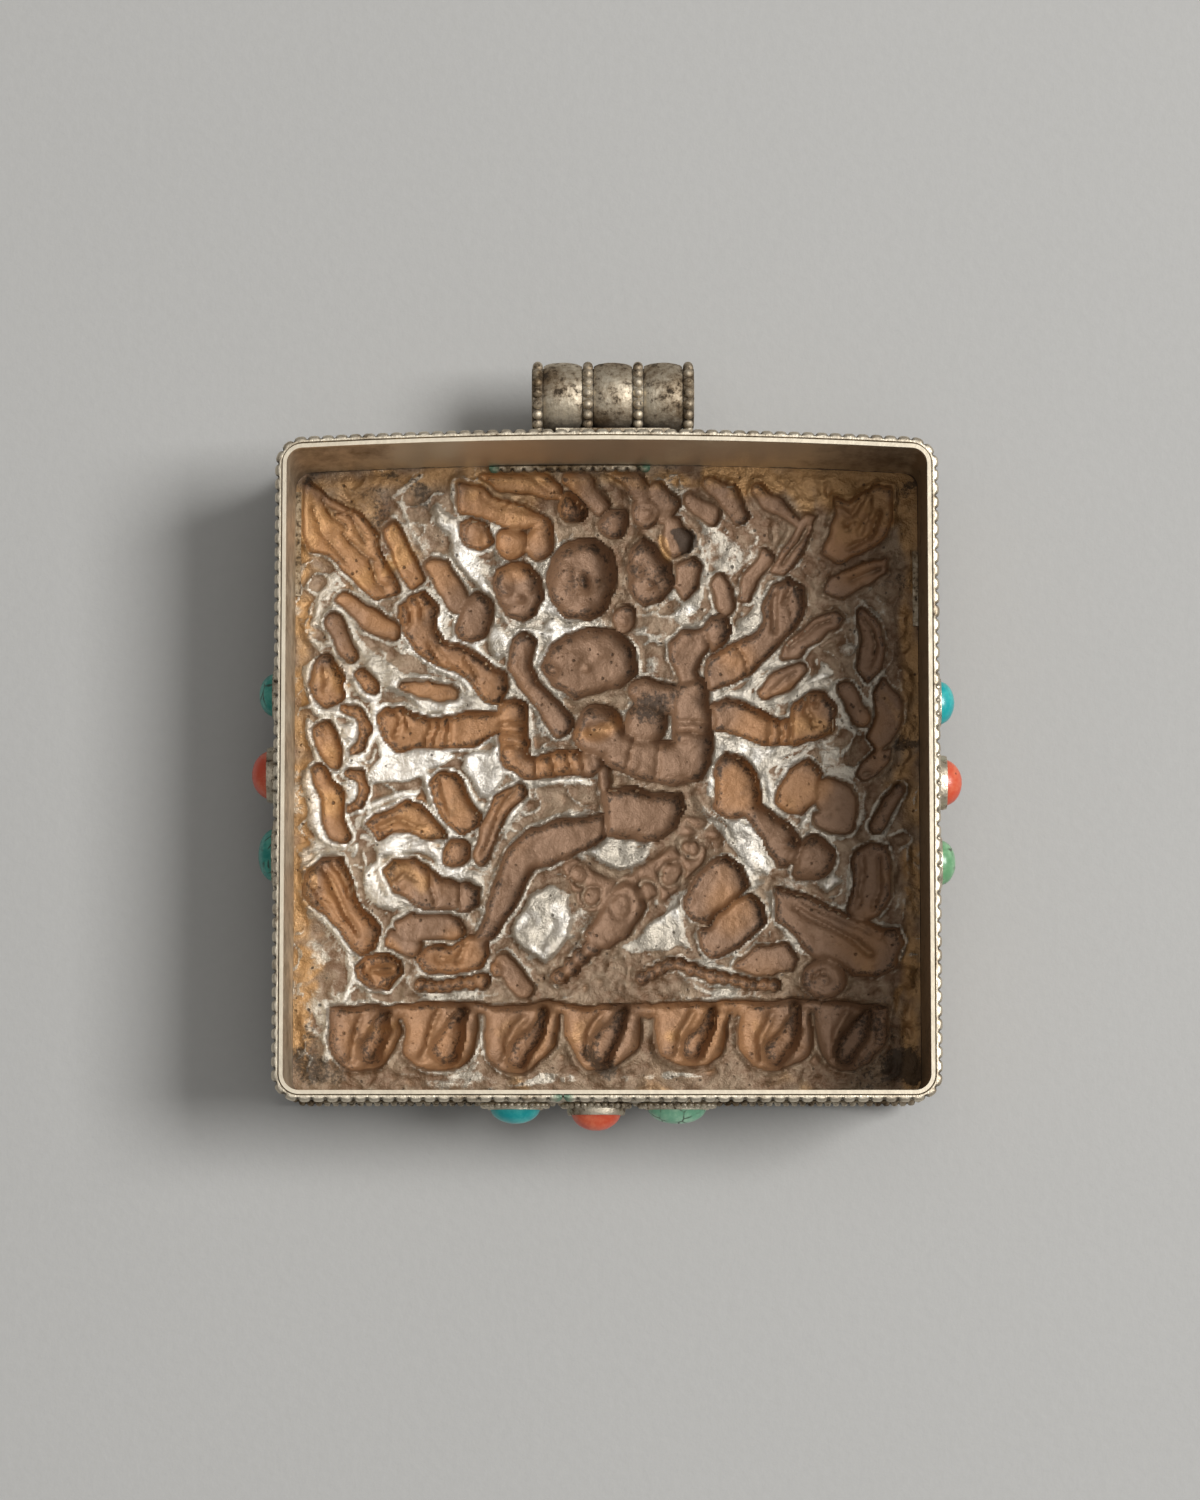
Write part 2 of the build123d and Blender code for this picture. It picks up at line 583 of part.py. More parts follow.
for side, wall_face in SIDES.items():
    seat = wall_face.offset(PLATE)

    # Plate soldered to the side, pointed at both ends
    with BuildPart() as plate:
        with BuildSketch(wall_face):
            Polygon(
                (-PLATE_LONG / 2, 0),
                (-PLATE_LONG / 2 + PLATE_POINT, -PLATE_TALL / 2),
                (PLATE_LONG / 2 - PLATE_POINT, -PLATE_TALL / 2),
                (PLATE_LONG / 2, 0),
                (PLATE_LONG / 2 - PLATE_POINT, PLATE_TALL / 2),
                (-PLATE_LONG / 2 + PLATE_POINT, PLATE_TALL / 2),
                align=None,
            )
        extrude(amount=PLATE, taper=PLATE_DRAFT)
    keep(plate, f"stone_plate_{side}")

    # Bezels: thin rims that grip the stones
    with BuildPart() as bezels:
        for name, place, long, tall, girdle in STONES[side]:
            loose = 2 * STONE_FIT
            grip = loose + 2 * BEZEL_WALL
            with BuildSketch(seat):
                with Locations((place * STONE_PITCH, 0)):
                    Polygon(*oval(long + grip, tall + grip, OVAL_SIDES), align=None)
                    Polygon(*oval(long + loose, tall + loose, OVAL_SIDES), align=None, mode=Mode.SUBTRACT)
            extrude(amount=girdle + BEZEL_GRIP)
    keep(bezels, f"bezels_{side}")

    # Beaded collars round the feet of the bezels
    with BuildPart() as collars:
        for name, place, long, tall, girdle in STONES[side]:
            grip = 2 * (STONE_FIT + BEZEL_WALL)
            edge = beaded_ring(long + grip + 2 * COLLAR, tall + grip + 2 * COLLAR, COLLAR_NOTCH, COLLAR_BEADS)
            with BuildSketch(seat):
                with Locations((place * STONE_PITCH, 0)):
                    Polygon(*edge, align=None)
                    Polygon(*oval(long + grip, tall + grip, OVAL_SIDES), align=None, mode=Mode.SUBTRACT)
            extrude(amount=COLLAR_TALL)
    keep(collars, f"bead_collars_{side}")

    # Cabochons
    for name, place, long, tall, girdle in STONES[side]:
        with BuildPart() as stone:
            add(cabochon(seat, place, long, tall, girdle))
        keep(stone, name)
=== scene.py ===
from math import cos, pi, radians, sin

import bmesh
import bpy
import numpy as np
from bpy.props import FloatProperty, FloatVectorProperty, IntProperty, PointerProperty
from bpy.types import Operator, Panel, PropertyGroup
from mathutils import Matrix, Vector


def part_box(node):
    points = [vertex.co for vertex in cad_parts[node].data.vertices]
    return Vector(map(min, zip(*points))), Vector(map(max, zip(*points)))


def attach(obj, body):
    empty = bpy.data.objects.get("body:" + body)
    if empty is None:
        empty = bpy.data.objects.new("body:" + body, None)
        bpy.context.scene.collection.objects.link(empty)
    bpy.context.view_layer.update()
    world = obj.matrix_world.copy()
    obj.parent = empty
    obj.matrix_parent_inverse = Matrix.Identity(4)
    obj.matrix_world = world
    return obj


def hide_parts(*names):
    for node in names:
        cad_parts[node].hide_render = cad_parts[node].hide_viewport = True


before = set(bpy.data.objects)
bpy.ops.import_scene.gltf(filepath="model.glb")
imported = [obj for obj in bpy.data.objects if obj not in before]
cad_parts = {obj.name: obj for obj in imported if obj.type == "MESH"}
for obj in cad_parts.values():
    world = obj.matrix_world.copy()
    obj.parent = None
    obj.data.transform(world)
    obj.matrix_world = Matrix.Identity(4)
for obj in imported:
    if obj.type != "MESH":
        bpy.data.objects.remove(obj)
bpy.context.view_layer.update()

bl_info = {
    "name": "Amulet box",
    "version": (1, 0, 0),
    "blender": (4, 5, 0),
    "location": "3D View > Sidebar > Amulet box",
    "description": "Dresses the solids of a silver amulet box that lies on its face",
    "category": "Object",
}

MM = 0.001

# The case's place, from its own solid: half its width, the bow of its top side, the sheet's back, the rim
CASE_LOW, CASE_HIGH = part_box("case_wall")
HALF = CASE_HIGH.x
CENTRE_Y = CASE_LOW.y + HALF
BOW = CASE_HIGH.y - CENTRE_Y - HALF
BACK = CASE_LOW.z
RIM = CASE_HIGH.z
# Thickness of the band and of the sheet
WALL = 0.5 * MM

# The picture, in millimetres from the middle of the case, seen from the back. A stroke is one lock, limb or
# fold: how deep it is pushed, then its points, each as place across, place up and half width
STROKES = [
    # Hides and banners
    (0.9, [(-35.2, 24.8, 1.125), (-31.4, 22, 1.875), (-28.6, 20, 1.25)]),
    (0.7, [(-22.8, 29, 1.75), (-20.6, 24.6, 1.875)]),
    (0.9, [(-36.6, 21, 1.5), (-34.4, 17.6, 1.375)]),
    (0.8, [(-26.5, 13.2, 1), (-24, 12.3, 1.5), (-21, 11.4, 1)]),
    (1, [(13, 39.8, 1), (16, 38.2, 1.625), (18.2, 35.7, 1)]),
    (0.9, [(20, 38.8, 1), (23, 36.8, 1.5), (25, 34.8, 0.875)]),
    (0.7, [(11, 37.6, 1), (14, 35.8, 1.5)]),
    (0.8, [(15, 26.2, 1.25), (15.8, 23.6, 1.5)]),
    # Flames
    (0.9, [(-34.8, 9.8, 0.6), (-32.8, 8.9, 0.78), (-31.9, 6.9, 0.84), (-32.6, 4.9, 0.78),
           (-34.2, 4.3, 0.6)]),
    (0.9, [(-34.4, 1.6, 0.6), (-32.6, 0.8, 0.78), (-31.9, -1.1, 0.84), (-32.7, -3, 0.78),
           (-34.2, -3.5, 0.6)]),
    (1.5, [(-37.6, 15.9, 1.44), (-37, 13.4, 2.4), (-36.2, 11.3, 1.56)]),
    (1.1, [(-37.8, 7.5, 1.44), (-36.8, 4.5, 1.56), (-36.2, 2.6, 0.96)]),
    (1.2, [(-38, 1.5, 1.2), (-36.5, -2, 1.44), (-36.3, -5, 1.44), (-35.2, -7.8, 1.08)]),
    (0.9, [(-32.6, 14.6, 0.96), (-31, 12.6, 1.32)]),
    (0.8, [(31.6, 12, 1.2), (33.6, 9, 1.44)]),
    (0.8, [(38.5, -1, 0.96), (36, -5.4, 1.2)]),
    # Locks, skulls and the bead at the throat
    (1.1, [(0.8, 41, 0.92), (3.3, 40.2, 1.38), (4.4, 38.2, 1.265)]),
    (1.1, [(6.2, 38.9, 1.38), (8, 36.8, 1.61), (7.9, 34.8, 1.035)]),
    (1.5, [(-13.1, 32.3, 2.3)]),
    (1.5, [(-9, 32.7, 2.3)]),
    (2.6, [(-4.7, 36, 1.725)]),
    (1.7, [(0.6, 34.6, 2.07)]),
    (1.7, [(5.1, 35.8, 2.07)]),
    (1.1, [(2.4, 21.7, 1.545)]),
    # What the hands at the sides hold
    (1.7, [(-17.4, 23.2, 2.4), (-17.8, 20.9, 2.4)]),
    (1.5, [(-20.2, -9.4, 2.04)]),
    (1, [(-11, -1.4, 1.08), (-14, -3.2, 1.44), (-16, -6, 1.32), (-16.8, -10, 1.08)]),
    (0.8, [(28.8, -1.6, 1.92), (31.5, -2.4, 2.16), (31, -4.6, 2.04), (28.2, -4.8, 1.44)]),
    (2.1, [(27.4, -9.9, 3.12)]),
    (0.9, [(21.3, 11.8, 0.96), (23.5, 14, 1.8), (26, 15.6, 1.08)]),
    # The arms and breasts of the pair
    (1.5, [(-11.3, 18.6, 1.534), (-11.5, 15.5, 1.534), (-9.5, 11.8, 1.298), (-7.1, 8.6, 1.416),
           (-5.9, 7.4, 1.652)]),
    (2, [(-12.5, 9.6, 1.77), (-12.4, 6, 1.888), (-12.1, 3, 1.77), (-10.5, 2, 1.77), (-7, 2.2, 1.888),
         (-3, 2.8, 1.888), (-2, 3.3, 1.534)]),
    (2.4, [(-0.9, 7, 3.186)]),
    (2.4, [(1, 4.8, 2.36), (5, 3.6, 2.596), (9, 2.3, 2.714), (11.3, 2.3, 2.242)]),
    (2.4, [(11.2, 13, 2.36), (11.6, 9, 2.478), (11.6, 5, 2.478), (11.2, 2.8, 2.124)]),
    (2, [(5.3, 8, 3.186)]),
    (1.5, [(5, 12, 2.242), (8.5, 11.5, 2.242)]),
    (0.9, [(-0.6, 2.2, 0.826), (0.1, -1, 0.944), (0.4, -3.6, 0.826)]),
    # Feet and those who lie under them
    (1.1, [(-28, -20.6, 1.2), (-25.8, -21.6, 1.56)]),
    (1.5, [(3, -15.8, 2.64), (0.6, -18.6, 2.4), (-1, -20.4, 1.92)]),
    (1.6, [(28.8, -25.8, 3)]),
    (0.7, [(17.6, -24, 1.08), (22, -24.5, 1.2)]),
    (0.7, [(-13.6, -23.6, 1.2), (-11, -27, 1.44)]),
]
# How much faster a stroke falls off past its ends than to its sides, so that its ends are blunt
BLUNT = 1.3
# The least share of its depth that a stroke keeps where it is thin, squared
THIN = 0.3
# The spotted skin round the hips: shallow dips without an edge
SKIN = [
    (0.7, [(-5, -11, 1.7), (-3, -14, 2.4), (1.5, -16.2, 2.8), (6, -13.2, 3), (11, -9.4, 2.4)]),
    (0.5, [(9, -6.5, 1.4), (14, -6, 1.6)]),
]
# Hollows drawn by their outline: depth, how far in from the edge the floor begins, corners
FORMS = [
    (4.1, 4.2, [(-7.7, 27.8), (-6.9, 30.3), (-4.9, 31.9), (-2.1, 32.1), (0.1, 30.8), (1.1, 28.4),
                (0.9, 25.5), (-0.4, 23.3), (-2.6, 22.2), (-5.1, 22.7), (-7.1, 24.8)]),
    (3.4, 3.8, [(-8.4, 15.6), (-7.6, 18.2), (-5.6, 19.8), (-2, 20.6), (1.4, 20.2), (3.6, 18.2), (3.6, 15),
                (1.8, 12.8), (-1, 11.8), (-4.4, 11.2), (-7, 12.6)]),
    (2.6, 2.6, [(-14.4, 28.4), (-12.6, 29.5), (-10.2, 29.5), (-8.9, 28.2), (-9, 25), (-9.8, 22.8),
                (-11.4, 21.8), (-13.2, 22.7), (-14.4, 24.6), (-14.7, 26.8)]),
    (3, 2.7, [(3.2, 28.6), (3.6, 31.2), (4.9, 32.3), (6.6, 31.2), (8.2, 28.9), (8.3, 26.4), (6.9, 24.6),
              (5, 23.6), (3.6, 24.5), (3.1, 26.4)]),
    (1.3, 1.4, [(8.3, 34.6), (9.9, 34.9), (11.1, 33), (10.6, 31), (9.1, 30.3), (8, 32.2)]),
    (1.4, 1.4, [(9.5, 28.6), (11.4, 29.5), (12.4, 28.3), (11.8, 26), (10.2, 25), (9, 26.4)]),
    (1.5, 1.1, [(-20, 39), (-17, 38.8), (-13.4, 37.8), (-10.6, 36), (-9, 34.8), (-11.2, 34.6),
                (-14.4, 35.2), (-17.4, 36.1), (-19.8, 36.5)]),
    (1.5, 1.1, [(-17, 40.3), (-15, 41.2), (-11.6, 41.3), (-8.6, 40.3), (-6.4, 38.2), (-6.2, 37),
                (-8.4, 37.4), (-10.6, 38.6), (-13.4, 39.4)]),
    (1.3, 1, [(-5.6, 41.1), (-3, 41.3), (-1.2, 39.6), (-0.2, 37.2), (-1.4, 36.2), (-3, 37.6),
              (-5.6, 38.8)]),
    (1.8, 1.5, [(-19.9, 34.4), (-18.4, 35.2), (-16.4, 34.4), (-15.8, 32.4), (-17.4, 31.1), (-19.2, 31.8)]),
    (1.2, 0.9, [(-40.2, 40.4), (-38.5, 39), (-36, 37.2), (-33, 35), (-31.5, 33.4), (-31.4, 31.4),
                (-30, 29.2), (-28.4, 27.4), (-27.9, 25.8), (-30, 24.8), (-32, 26.4), (-34.6, 28.8),
                (-37, 30.8), (-39.4, 31.4), (-40.2, 35)]),
    (1, 0.9, [(-30.2, 34), (-29, 34.8), (-27.5, 33), (-25.6, 29.6), (-25, 26.8), (-26.2, 26.2), (-27.6, 29),
              (-29.6, 32.4)]),
    (2.6, 1.5, [(-27.4, 23.6), (-26.4, 24.8), (-24.9, 25.1), (-23.6, 23.4), (-23.2, 20.6), (-22, 19),
                (-20.5, 18.5), (-17.5, 16.5), (-15.2, 15.2), (-13.5, 14.4), (-12.9, 12.6), (-13.6, 10.8),
                (-15.4, 10.9), (-18, 12.9), (-20.4, 14.9), (-22.4, 16.2), (-24, 16.9), (-25.8, 18.6),
                (-27, 20.6), (-27.6, 22)]),
    (2.5, 1.5, [(-30, 8.6), (-29, 9.7), (-27, 9.8), (-25.6, 8.7), (-23.8, 8.3), (-20, 8.6), (-16, 8.9),
                (-13.6, 9), (-13.3, 7.4), (-14.6, 6.5), (-17.6, 5.5), (-21, 5), (-25, 5.1), (-27.6, 4.9),
                (-29.4, 6.4)]),
    (1.8, 1.2, [(-31.8, -5.6), (-30.4, -4.6), (-28, -3.9), (-26.4, -2.6), (-25, -3.2), (-23.4, -5.2),
                (-22, -7.2), (-23.4, -7), (-26, -6.2), (-28.4, -6.6), (-30.2, -7.6)]),
    (2.1, 1.4, [(-22.8, -0.4), (-21.8, 1), (-20.2, 0.9), (-18.8, -1.6), (-17.2, -4), (-17.6, -5.4),
                (-19.4, -6.6), (-21.2, -5.4), (-22.4, -3.2)]),
    (2, 1.5, [(-28.9, -11.6), (-27.6, -10.4), (-25.4, -10.3), (-23.4, -12), (-21.4, -13.1), (-18.6, -13.2),
              (-17.1, -13.6), (-17.2, -15.4), (-19.4, -16.2), (-22.6, -16.2), (-25.6, -15.6),
              (-27.8, -14.2)]),
    (2.6, 1.6, [(13.6, 16.9), (15.6, 17.6), (18.4, 18.7), (20.6, 19.9), (21.4, 21.4), (21.6, 24),
                (22.6, 26.4), (24.4, 27.2), (26, 26), (26.6, 23.6), (25.6, 21.4), (23.4, 19.3), (21, 17),
                (18.6, 14.9), (16, 13.3), (14, 12.8), (13.4, 14.6)]),
    (2.5, 1.6, [(14.4, 10.1), (16, 10.7), (18.4, 10.2), (20.4, 9.1), (23.2, 8.2), (25.1, 8.6), (25.4, 10.6),
                (27, 11.6), (28.8, 11.3), (29.8, 9.6), (29.4, 7.4), (27.6, 6.2), (25, 5.4), (21.6, 5.6),
                (18, 6.2), (14.6, 7)]),
    (2.9, 2, [(14.3, 1.6), (15.5, 2.9), (17.8, 2.7), (20, 0.8), (20.7, -2.6), (22.5, -4.2), (24, -6),
              (25, -8.3), (24.3, -10.5), (22.7, -10.6), (21.6, -9.4), (21.2, -7.4), (20, -5), (18.8, -4),
              (16, -4), (14.6, -2.8)]),
    (1.6, 1.4, [(23.4, -0.6), (24.8, 1.6), (26.6, 2.6), (27.8, 0.6), (27.6, -2), (26, -3.8), (24.2, -3.4),
                (22.9, -2.2)]),
    (2.3, 1.6, [(12.4, 20.6), (13.6, 22), (15.5, 22), (16.2, 20.4), (15.4, 18.8), (13.8, 18.1)]),
    (1.8, 1.6, [(8.5, 19), (9.8, 20.4), (12, 20.5), (12.8, 18.4), (11.6, 16), (12, 13.4), (10, 13.4),
                (9.2, 15.6), (8.3, 17)]),
    (1.4, 1.1, [(30.6, 38), (32.4, 37.6), (36, 39.6), (38.2, 39.4), (37.8, 36.4), (36.8, 33.6),
                (33.6, 31.2), (30.4, 29.8), (28.8, 31), (29.6, 34), (30.4, 36)]),
    (0.9, 0.6, [(21.2, 31.4), (22.2, 30.4), (20.6, 27.2), (19.2, 24.6), (18, 24.6), (18.8, 27.2)]),
    (1, 0.7, [(27.2, 35.4), (26.3, 35.6), (24.4, 32.6), (22.2, 28.6), (23.6, 28.2), (26, 32)]),
    (1.2, 0.9, [(31.4, 22), (30.6, 22.7), (27.4, 20.9), (24.2, 18.3), (23.6, 17), (26, 17.4), (29, 19.3)]),
    (1, 0.8, [(37, 30), (34, 29.4), (30.4, 27.4), (29.3, 25.5), (31.2, 25), (34.6, 26.6), (36.6, 28.4)]),
    (1.1, 1, [(34, 23.4), (35.8, 22.2), (36.4, 18.6), (35.8, 15), (34.4, 13.6), (33.2, 15.6),
              (33.5, 19.4)]),
    (1.2, 1, [(36.8, 13.4), (38.6, 11.6), (39, 8.6), (37.8, 6), (36, 5), (34.8, 6.4), (35.9, 9.2),
              (35.6, 12)]),
    (0.9, 0.7, [(33.6, 0.8), (34.2, 2.4), (36.2, 4.6), (37.8, 4.8), (37.2, 3.2), (35.6, 1), (34.6, 0.2)]),
    (1.5, 1.2, [(33.5, -9), (35.2, -7.9), (37.3, -8.5), (38.1, -11), (37.7, -14.6), (36, -17.4),
                (33.8, -18.2), (32.4, -16.4), (33.4, -13)]),
    (3.3, 2.6, [(0.2, -0.9), (4.2, -0.6), (6, -1.4), (9.3, -1.6), (9.8, -3.6), (8.9, -5.6), (6.8, -6.7),
                (3, -7.2), (0.3, -7)]),
    (2.6, 1.7, [(-0.3, -4.4), (-3.4, -4.8), (-7.2, -5.6), (-10.4, -7.2), (-12.8, -9.6), (-14.6, -13),
                (-15.8, -16.6), (-17, -20), (-15.2, -20.2), (-13.4, -17.4), (-11.6, -14), (-10, -11.3),
                (-7, -10.2), (-3.8, -9), (-0.6, -7.4)]),
    (2.1, 1.3, [(-16.2, -20.4), (-18, -20.3), (-20.4, -21.9), (-23.4, -22.1), (-24.7, -23.3),
                (-23.6, -24.5), (-20, -24.9), (-16.8, -24.1), (-15.9, -22.4)]),
    (1.3, 1, [(-27.8, -18.8), (-25.6, -17.5), (-22.6, -17.3), (-19.8, -17.9), (-19, -19.6), (-21, -20.5),
              (-24.4, -20.2), (-26.6, -20.4)]),
    (2.5, 1.7, [(-39.2, -11.6), (-37.6, -10.5), (-35.4, -10.9), (-34.4, -13.4), (-32.6, -16.8),
                (-30.6, -19.4), (-30.8, -21.2), (-32.4, -22), (-34.6, -20), (-37, -16.8), (-39.6, -14)]),
    (2.3, 1.4, [(-32.8, -24.4), (-31.6, -22.9), (-29.4, -22.7), (-27.4, -23.9), (-27.2, -25.4),
                (-28.8, -26.6), (-31.4, -26.5), (-32.7, -25.6)]),
    (2.5, 1.6, [(10.8, -15.6), (12, -13), (14, -11.1), (16, -10.3), (17.6, -11.2), (18.3, -13.4),
                (16.8, -15.1), (14.8, -16.6), (13.2, -18.7), (11.8, -18.2), (10.9, -17)]),
    (2.1, 1.4, [(18.8, -15.2), (20.1, -16.6), (20.3, -18.3), (18.6, -20.3), (16, -22), (14, -23),
                (12.8, -21.8), (12.6, -20), (14, -19.4), (15.4, -17.4), (17, -16)]),
    (2.4, 1.5, [(22.6, -13.8), (26, -14.8), (31, -17.3), (35.8, -19.3), (38, -20), (38.9, -21.8),
                (38.5, -24), (36, -25.4), (33, -25), (31, -23.4), (28.2, -22.6), (25.4, -20.4),
                (22.4, -17.8)]),
    (1.2, 0.9, [(19.8, -21.8), (23.6, -21.4), (25, -23), (24.6, -24.5), (22, -24.5), (19.6, -23.7),
                (16.8, -24.3)]),
    (2.2, 2, [(25.4, -8.8), (27, -7.4), (29.2, -8), (30, -10), (28.8, -12.1), (26.6, -12.2),
              (25.2, -10.8)]),
]
# How far past its written outline a hollow reaches, and the shares of its depth and slope that are pushed
OUTSIDE = 0.4
FORM_DEPTH = 0.72
FORM_SLOPE = 0.85
# Round dents in rows: toes, and the string of beads beside the foot. The row's points, how many, radius,
# depth
ROWS = [
    ([(-24.4, -26.6), (-18, -26.7)], 6, 0.95, 1.1),
    ([(-16.6, -26.2), (-14.4, -24.6)], 2, 1.1, 0.9),
    ([(-6.4, -25.4), (-3.2, -22.9), (-0.4, -20.7)], 5, 1.15, 1.3),
    ([(4.3, -26), (6.4, -24.8), (9, -23.9), (11.3, -24.9), (13.8, -25.9), (22.6, -26.9)], 14, 0.95, 1),
]
# Lotus petals along the foot: the middle of each, and how far its drop leans
PETALS = [
    (-32.2, 1.6), (-22, 1.3), (-11.4, 0.9), (-0.6, 0.9), (11, 1.2), (22.4, 1.3), (32.6, 0.6),
]
# A petal about its middle: the place of its top edge, its cup and its drop as strokes, its two ridges as
# height, half width and points
PETAL_TOP = -29.2
PETAL_CUP = (1.7, [(0, -28.6, 4.9), (0, -33.2, 5)])
PETAL_DROP = (1.9, [(1.5, -30.4, 0.8), (0.8, -33, 1.4), (-0.7, -35.4, 2)])
PETAL_RIDGES = [
    (0.8, 0.5, [(-0.2, -30.8), (-1.5, -33.4), (-2, -36.4)]),
    (0.7, 0.6, [(3.5, -31), (3, -34.6), (1.4, -37)]),
]
# The step down to the petals: depth, reach to the sides, and from where to where it grows, above and below
STEP_DEPTH = 1.1
STEP_REACH = 37.5
STEP_ABOVE = (-28.8, -29.5)
STEP_BELOW = (-31.6, -30.2)
